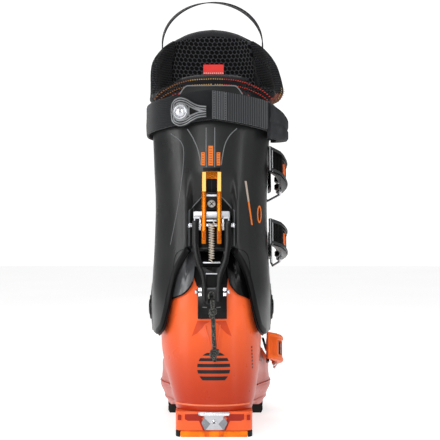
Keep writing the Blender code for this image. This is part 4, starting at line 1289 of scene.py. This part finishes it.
def puff(obj, rising_from, reach):
    """Padded fabric: cloth under pressure, held at its lower edge, which moves no further than reach."""
    frames = 20
    mesh = obj.data
    held = obj.vertex_groups.new(name="held")
    for v in mesh.vertices:
        held.add([v.index], 1.0 if v.co.z < rising_from * MM else 0.25, "REPLACE")
    padding = obj.modifiers.new("padding", "CLOTH")
    for key, value in {
        "quality": 6, "mass": 0.3, "use_pressure": True, "uniform_pressure_force": 4,
        "tension_stiffness": 12, "compression_stiffness": 12, "bending_stiffness": 4,
        "vertex_group_mass": "held", "pin_stiffness": 0.6,
    }.items():
        setattr(padding.settings, key, value)
    padding.settings.effector_weights.gravity = 0
    padding.collision_settings.use_collision = False
    padding.point_cache.frame_start = 1
    padding.point_cache.frame_end = frames
    scene = bpy.context.scene
    for n in range(1, frames + 1):
        scene.frame_set(n)
        bpy.context.view_layer.update()
    settled = obj.evaluated_get(bpy.context.evaluated_depsgraph_get())
    after = [v.co.copy() for v in settled.to_mesh().vertices]
    settled.to_mesh_clear()
    obj.modifiers.remove(padding)
    obj.vertex_groups.remove(held)
    scene.frame_set(1)
    for v, new in zip(mesh.vertices, after):
        step = new - v.co
        if step.length > reach * MM:
            step *= reach * MM / step.length
        v.co += step
    smooth(obj, 60)


def liner():
    """The padded collar and tongue, and the gussets between them."""

    def collar_face(inset, seam, sign):
        def at(a, t):
            h = mix(LINER_FOOT, collar_top(a), t)
            groove = SEAM * bump(t, 0.93, 0.02) * sign + seam * bump(abs(a), 66, 2.5) * soft((h - 300) / 8)
            return liner_point(a, h, inset + groove + 2.2 * sign * soft((t - 0.965) / 0.035) ** 2)

        return at

    def tongue_face(inset, sign):
        def at(a, t):
            top = table(TONGUE_TOP, abs(a))
            h = mix(LINER_FOOT, top, t)
            groove = SEAM * bump(h, top - 8, 1.2) * sign
            return liner_point(a, h, inset + groove + sign * 2.6 * soft((h - top + 5) / 5) ** 2)

        return at

    def bound(p):
        return p.z >= table(TONGUE_TOP, 180 - abs(p.x) * 0.9) - 8

    columns = [k * 2.5 - 130 for k in range(105)]
    looks = (LINING, "cuff", "liner_fabric")
    faces = collar_face(0.6, SEAM, 1), collar_face(8.6, 0, -1)
    collar = wall("collar_padding", *faces, columns, 72, *looks, "liner_collar", ring=False, mapped=True)
    split_finish(collar, FINE_MESH, lambda p: p.z > 322 and abs(p.x) > 30)
    split_finish(collar, RUST, lambda p: p.x > 52 and 304 < p.z < 322 and p.y > 20)
    puff(collar, 318, 1.4)
    columns = [a if a <= 180 else a - 360 for a in (134 + k * 2.3 for k in range(41))]
    faces = tongue_face(0.5, 1), tongue_face(8.5, -1)
    tongue = wall("tongue_padding", *faces, columns, 90, *looks, "liner_tongue", ring=False, mapped=True)
    split_finish(tongue, MESH, lambda p: not bound(p) and abs(p.x + 2) < 42)
    split_finish(tongue, BINDING, bound)
    puff(tongue, 330, 1.2)
    for side, word in SIDES:
        def strip(inset):
            return lambda a, t: liner_point(side * a, mix(250, table(TONGUE_TOP, 134) - 5, t), inset)

        wall(f"gusset_{word}", strip(3.2), strip(5.6), range(125, 140), 40, BINDING, "cuff", ring=False)


def stitches(name, finish, spots, long=1.2):
    """A row of thread stitches, one mesh: spots are (point, direction, outward normal)."""
    points, faces = [], []
    for at, along, normal in spots:
        along = along.normalized() * long / 2
        side = along.cross(normal).normalized() * 0.5
        rise = normal.normalized()
        faces += ring_faces(4, 4, len(points))
        for share, lift, wide in ((-1, -0.2, 0.5), (-0.55, 0.42, 1), (0.55, 0.42, 1), (1, -0.2, 0.5)):
            centre = at + along * share + rise * lift
            over, under = centre + rise * 0.28 * wide, centre - rise * 0.3
            points += [centre - side * wide, over, centre + side * wide, under]
    return piece(name, points, faces, finish, "cuff")


def collar_stitching():
    """Two arcs of stitches round the back of the collar, and loose quilting stitches below them."""

    def spot(a, h):
        p = liner_point(a, h, 0.2)
        return p, liner_point(a + 1, h, 0.2) - p, liner_point(a, h, -2) - p

    def at_x(off, h):
        """The place on the back where the collar stands this far to the side."""
        low, high = 0.0, 89.0
        for _ in range(24):
            a = (low + high) / 2
            inside = abs(liner_point(copysign(a, off), h).x + 1) < abs(off)
            low, high = (a, high) if inside else (low, a)
        return spot(copysign(low, off), h)

    arc = [(0, 333.4), (16, 332.8), (32, 330), (43, 325.8), (50, 321.6), (56, 316)]
    kinds = (
        ("gold", THREAD_GOLD, range(-10, 5)), ("red", THREAD_RED, range(5, 27)),
        ("rust", THREAD_RUST, range(-26, -10)),
    )
    for n, drop in enumerate((0, 5.2)):
        for kind, finish, places in kinds:
            spots = [at_x(k * 2.15 + 0.01, table(arc, abs(k * 2.15)) - drop) for k in places]
            stitches(f"collar_stitches_{kind}_{n + 1}", finish, spots, 1.1)
    draw = random.Random(3)
    for side, word in SIDES:
        spots = []
        for _ in range(26):
            a = side * draw.uniform(33, 56)
            top = collar_top(a)
            spots.append(spot(a, draw.uniform(top - 24, top - 12)))
        stitches(f"quilt_stitches_{word}", THREAD_RED, spots)
    spots = [spot(a, 306 + k * 1.9) for a in (70, 84) for k in range(12)]
    stitches("side_stitches", THREAD_GOLD, [(p, Vector((0, 0, 1)), n) for p, _, n in spots])


def label():
    """The bare red tag, waving a little at its free edge, with a row of stitches along its foot."""
    low, high = box_mm("liner_label")

    def face(level):
        def at(u, t):
            wave = 0.35 * sin(u * 5) * t + 0.5 * t * t
            return Vector((mix(low.x, high.x, u), low.y + level + wave, mix(low.z, high.z, t)))

        return at

    columns = [k / 16 for k in range(17)]
    wall("collar_tag", face(0.1), face(0.9), columns, 8, RED, "cuff", "red_label", "liner_label", ring=False)
    route = straight((low.x + 0.8, low.y - 0.1, low.z + 0.9), (high.x - 0.8, low.y - 0.1, low.z + 0.9), 9)
    along, normal = Vector((1, 0, 0)), Vector((0, -1, 0))
    stitches("tag_stitches", THREAD_WHITE, [(Vector(p), along, normal) for p in route])


def pull_loop():
    """The webbing loop over the top, edge on from behind, with a little twist, and its two ends carried on
    straight down.
    """
    middle, half, foot, rise = -2.0, 50.5, 375.0, 42.5
    wide_half, thick_half = 4.9, 0.55
    steps, sunk_steps = 80, 6
    back = Vector((0, 1, 0))
    section = [(-1, -0.6), (-0.94, -1), (0.94, -1), (1, -0.6), (1, 0.6), (0.94, 1), (-0.94, 1), (-1, 0.6)]
    points = []
    for k in range(-sunk_steps, steps + sunk_steps + 1):
        turn = pi * min(max(k, 0), steps) / steps
        sunk = max(-k, k - steps, 0) * 1.6
        height = foot + (rise - thick_half) * sin(turn) - sunk
        centre = Vector((middle - (half - thick_half) * cos(turn), 78, height))
        out = Vector((-cos(turn) * rise, 0, sin(turn) * half)).normalized()
        twist = radians(14 * sin(2 * turn) + 5)
        wide = (back * cos(twist) + out * sin(twist)) * wide_half
        thick = (out * cos(twist) - back * sin(twist)) * thick_half
        points += [centre + wide * u + thick * v for u, v in section]
    loft("loop_webbing", points, 8, LOOP, "cuff", "webbing", "pull_loop")


STRAP_LEVEL, STRAP_TALL = 284, 28
TAB_HALF = [(-31.5, 3), (-29.5, 8.5), (-26, 12.5), (-21.6, 14), (-17, 12.8), (-12, 9.3), (-7, 6.5), (-2, 5.5)]
TAB_MIDDLE, TAB_OUT, RIVET_ANGLE = 300.5, 8.7, -21.6


def strap_point(a, h, off):
    p = cuff_point(a, STRAP_LEVEL, off, recess=False)
    return Vector((p.x, p.y, h))


def strap_low(a):
    return table([(0, 293), (50, 285), (100, 280), (180, 276)], abs(a))


def tab_path(spots):
    """(point, outward normal) pairs over the tab, for spots of (angle, height)."""
    pairs = ((strap_point(a, h, TAB_OUT), strap_point(a, h, TAB_OUT + 2)) for a, h in spots)
    return [(p, q - p) for p, q in pairs]


def strap_band():
    def outer(a, t):
        fold = 0.35 * sin(radians(a * 3)) * bump(t, 0.35, 0.3)
        return strap_point(a, strap_low(a) + STRAP_TALL * t, 6.2 - 0.5 * rim(t, 0.05) + fold)

    def inner(a, t):
        return strap_point(a, strap_low(a) + STRAP_TALL * t, 3.8 + 0.5 * rim(t, 0.05))

    ring = [k * 3 - 180 for k in range(120)]
    wall("strap_band", outer, inner, ring, 28, WEB, "cuff", "webbing", "power_strap")


def strap_tab():
    """The rubber pull tab with its ridges, the wedge moulded in it, and the rivet."""

    def face(off, roll):
        def at(a, t):
            return strap_point(a, TAB_MIDDLE + (t - 0.5) * 2 * table(TAB_HALF, a), off - roll * rim(t, 0.08))

        return at

    columns = [-31.5 + 29.5 * k / 48 for k in range(49)]
    faces = face(8.8, 0.5), face(6.5, 0)
    wall("tab_plate", *faces, columns, 16, TAB, "cuff", "rubber_black", "strap_tab", ring=False)
    for n, inset in enumerate((1.2, 3.4, 5.6)):
        start = -31.2 + 0.9 * inset
        for side, word in ENDS:
            spots = []
            for k in range(49):
                a = mix(start, -2.2, (k / 48) ** 1.5)
                reach = max(table(TAB_HALF, a) - inset, 0) * soft((a - start) / 1.2 + 0.15)
                spots.append((a, TAB_MIDDLE + side * reach))
            looks = (TAB_LIGHT, "cuff", "rubber_black")
            ribbon(f"tab_ridge_{word}_{n + 1}", tab_path(spots), 0.5, 0.6, *looks)
    wedge = [(-14.2, 305.6), (-14.2, 296.4), (-4.4, 301.2)]
    for n, (first, last) in enumerate(zip(wedge, wedge[1:] + wedge[:1])):
        ribbon(f"tab_wedge_{n + 1}", tab_path(straight(first, last, 12)), 0.45, 0.6, TAB_LIGHT, "cuff")
    reach = [mix(3.3, 0.2, k / 10) for k in range(11)]
    ribbon("tab_hollow", tab_path(straight((-13.4, 301.0), (-6.0, 301.1), 10)), reach, 0.3, LIP, "cuff")
    low, high = box_mm("strap_rivet")
    inner, outer = (strap_point(RIVET_ANGLE, TAB_MIDDLE, off) for off in (9, 12))
    axis = (outer - inner).normalized()
    start = (low + high) / 2 - axis * 1.2
    head = [
        (0, 7.0), (0.9, 7.0), (1.5, 6.6), (1.7, 6.0), (1.3, 5.4), (0.9, 5.0), (0.9, 4.6), (1.5, 4.1),
        (2.1, 3.0), (2.4, 1.6), (2.45, 0.3),
    ]
    disc("rivet_head", start, axis, head, 40, SILVER, "cuff", "silver", "strap_rivet")
    washer = [(0, 8.3), (0.6, 8.3), (0.9, 7.9), (0.9, 7.1)]
    disc("rivet_washer", start - axis * 0.2, axis, washer, 40, TAB_LIGHT, "cuff")


def strap_webbing():
    """The ribbed webbing over the strap, with its folded end and three rows of stitches."""

    def face(off, roll):
        def at(a, t):
            return strap_point(a, strap_low(a) + 14 + (t - 0.5) * 26, off - roll * rim(t, 0.05))

        return at

    columns = [0.6 + 51.4 * k / 60 for k in range(61)]
    looks = (WEB_ACROSS, "cuff", "webbing", "strap_webbing")
    wall("strap_ribbing", face(9.2, 0.4), face(6.6, 0), columns, 26, *looks, ring=False)
    columns = [0.4 + 9 * k / 14 for k in range(15)]
    faces = face(10.3, 0.4), face(9.25, 0.4)
    wall("strap_fold", *faces, columns, 20, WEB_LIGHT, "cuff", "webbing", ring=False)
    spots = []
    for a in (1.4, 4.4, 8.4):
        for k in range(11):
            h = strap_low(a) + 3 + 2.2 * k
            p = strap_point(a, h, 10.3)
            spots.append((p, Vector((0, 0, 1)), strap_point(a, h, 12) - p))
    stitches("strap_stitches", THREAD_GREY, spots, 1.3)


def strap_guard():
    """The keeper that stands off the lateral side."""
    out_by = [(54, 10.5), (66, 13.5), (78, 17), (92, 18.5), (104, 16.5), (114, 12)]
    top_by = [(54, 311), (66, 306), (92, 297), (114, 297)]

    def outer(a, t):
        off = table(out_by, a) - 1.4 * rim(t, 0.1) - 0.9 * bump(t, 0.5, 0.12)
        return strap_point(a, mix(277, table(top_by, a), t), off)

    def inner(a, t):
        return strap_point(a, mix(277, table(top_by, a), t), 6.7)

    looks = (TAB, "cuff", "gloss_black", "strap_keeper")
    wall("strap_guard", outer, inner, range(54, 115), 24, *looks, ring=False)


liner()
collar_stitching()
label()
pull_loop()
strap_band()
strap_tab()
strap_webbing()
strap_guard()

# Buckles

# Tilt in degrees, lift of the lever's free end, length and height
LEVERS = {
    "upper": (20, 12, 56, 26), "lower": (16, 12, 56, 26), "instep": (12, 9.5, 45, 26),
    "toe": (6, 7.5, 38, 18),
}
OUT = Vector((1, 0, 0))


def buckle(name):
    """A lever keeps its body, and gets softened edges, side rails, teeth and an inlaid accent."""
    dark = name in ("upper", "lower")
    finish, accent, edge, lip = LEVER_ORANGE, GLOSS, LEVER_ORANGE, LEVER_ORANGE
    if dark:
        # On the dark levers the lips carry a painted highlight in pale grey.
        finish, accent, edge, lip = GLOSS, LEVER_ORANGE, LEVER_EDGE, LIP_HIGHLIGHT
    for part, *looks in (
        ("lever", finish, 0.8, 3), ("base", GLOSS, 0.6), ("ladder", GLOSS, 0.4), ("pin", SILVER, 0.3),
        ("bail", SILVER),
    ):
        repaint(f"{name}_buckle_{part}", *looks)
    nodes[f"{name}_buckle_bail"].data.shade_smooth()
    tilt, lift, long, height = LEVERS[name]
    tall = height / 2
    body = f"{name}_lever"
    joint = next(j for j in frame["joints"] if j["name"] == f"{name}_lever_open")
    pivot = Vector(joint["pos_m"]) / MM
    ahead = Vector((0, cos(radians(tilt)), -sin(radians(tilt))))
    up = Vector((0, sin(radians(tilt)), cos(radians(tilt))))

    def place(x, y, h):
        return pivot + OUT * x + ahead * y + up * h

    outer = [
        (3.6, 3), (6.2, -5), (7.2, -0.25 * long), (5.6, -0.45 * long), (0.4, -0.75 * long),
        (1.8 - lift, 0.6 - long),
    ]
    cap = [(0, 2.6), (0.9, 2.6), (1.3, 2.2), (1.3, 1.2), (1.0, 0.4)]
    for side, word in ENDS:
        route = curve_through([place(x + 0.05, y, side * (tall - 2.4)) for x, y in outer], 32)
        ribbon(f"{name}_lever_rail_{word}", [(p, OUT) for p in route], 1.4, 0.9, edge, body)
        at = place(0, 0, side * (tall + 0.4))
        disc(f"{name}_hinge_cap_{word}", at, up * side, cap, 24, SILVER, "cuff" if dark else "lower")
    tip = curve_through([place(1.2 - lift, 0.4 - long, h) for h in (0.5 - tall, 0, tall - 0.5)], 12)
    for n, shift in enumerate((0.0, 2.6)):
        path = [(p + ahead * shift + OUT * 0.85 * shift, OUT - ahead) for p in tip]
        ribbon(f"{name}_lever_lip_{n + 1}", path, 0.55, 0.9, lip, body)
    for n in range(6):
        share = 0.72 + 1.9 * n / long
        x = mix(5.6, 0.4, (share - 0.45) / 0.3)
        if share > 0.75:
            x = mix(0.4, 1.6 - lift, (share - 0.75) / 0.25)
        route = curve_through([place(x, -share * long, h) for h in (3.8 - tall, 0, tall - 3.8)], 8)
        ribbon(f"{name}_lever_grip_{n + 1}", [(p, OUT) for p in route], 0.45, 0.9, finish, body)
    inlay, half = [(-0.6, -12), (5.8, -12), (4.6, -0.5 * long), (-2.4, -0.58 * long)], tall - 7.4
    points = [place(x, y, h) for h in (-half, half) for x, y in inlay]
    bevel(loft(f"{name}_lever_inlay", points, 4, accent, body), 0.7)
    rounds = [(-2.4, 4.0), (-2.1, 4.7), (-0.6, 4.85), (-0.5, 4.3)]
    rounds += [(-along, radius) for along, radius in reversed(rounds)]
    for n, share in enumerate((-0.62, 0, 0.62)):
        disc(f"{name}_knuckle_{n + 1}", place(0, 0, share * tall), up, rounds, 28, finish, body)


for name in LEVERS:
    buckle(name)

# Stage and light


def backdrop():
    """A world that is dim beside the boot and white behind it, by how far a direction points forward (Y)."""
    world = bpy.data.worlds.new("studio")
    world.use_nodes = True
    tree = world.node_tree
    shade = tree.nodes["Background"]
    place = tree.nodes.new("ShaderNodeTexCoord")
    split = tree.nodes.new("ShaderNodeSeparateXYZ")
    half = tree.nodes.new("ShaderNodeMath")
    half.operation = "MULTIPLY_ADD"
    half.inputs[1].default_value = half.inputs[2].default_value = 0.5
    ramp = tree.nodes.new("ShaderNodeValToRGB")
    ramp.color_ramp.interpolation = "EASE"
    stops = ramp.color_ramp.elements
    stops.remove(stops[1])
    stops[0].color = (0.55, 0.55, 0.55, 1)
    for along, level in ((0.1, 0.55), (0.35, 0.12), (0.93, 0.12), (0.984, 1.0)):
        stops.new(0.5 + along / 2).color = (level, level, level, 1)
    for start, end in (
        (place.outputs["Generated"], split.inputs["Vector"]), (split.outputs["Y"], half.inputs[0]),
        (half.outputs[0], ramp.inputs["Fac"]), (ramp.outputs["Color"], shade.inputs["Color"]),
    ):
        tree.links.new(start, end)
    shade.inputs["Strength"].default_value = 1.12
    bpy.context.scene.world = world


def stage():
    shape = bpy.data.meshes.new("floor")
    reach, back = 4.0, 5.0
    shape.from_pydata([(x, y, 0) for x, y in rectangle(-reach, -reach, reach, back)], [], [(0, 1, 2, 3)])
    sockets = {"Emission Color": (1, 1, 1, 1), "Specular IOR Level": 0.0}
    pale = Nodes("floor_pale", (0.62, 0.62, 0.62), 0.8, **sockets)
    pale.set("Emission Strength", pale.ramp(pale.noise(3, 2), 0.3, 0.7, 0.66, 0.68))
    shape.materials.append(pale.material)
    add_object("floor", shape)
    bpy.context.scene.view_settings.view_transform = "Standard"
    for name, at, aim_z, wide, tall, power in (
        ("key", (-1.42, -0.5, 0.45), 0.2, 0.32, 1.2, 8),
        ("fill", (1.35, -0.75, 0.45), 0.2, 0.25, 1.2, 4.5),
        ("side", (-1.5, -0.08, 0.45), 0.2, 0.2, 1.3, 4),
        ("front", (-0.3, -1.7, 0.8), 0.2, 0.5, 0.8, 9),
        ("top", (0.0, 0.2, 1.6), 0.2, 0.9, 0.9, 8),
        ("low", (0.0, -1.6, 0.1), 0.15, 0.25, 0.5, 1.0),
    ):
        data = bpy.data.lights.new(name, "AREA")
        data.shape = "RECTANGLE"
        data.size, data.size_y, data.energy = wide, tall, power
        obj = add_object(name, data)
        obj.location = at
        obj.rotation_euler = (Vector((0, 0, aim_z)) - Vector(at)).to_track_quat("-Z", "Y").to_euler()


backdrop()
stage()
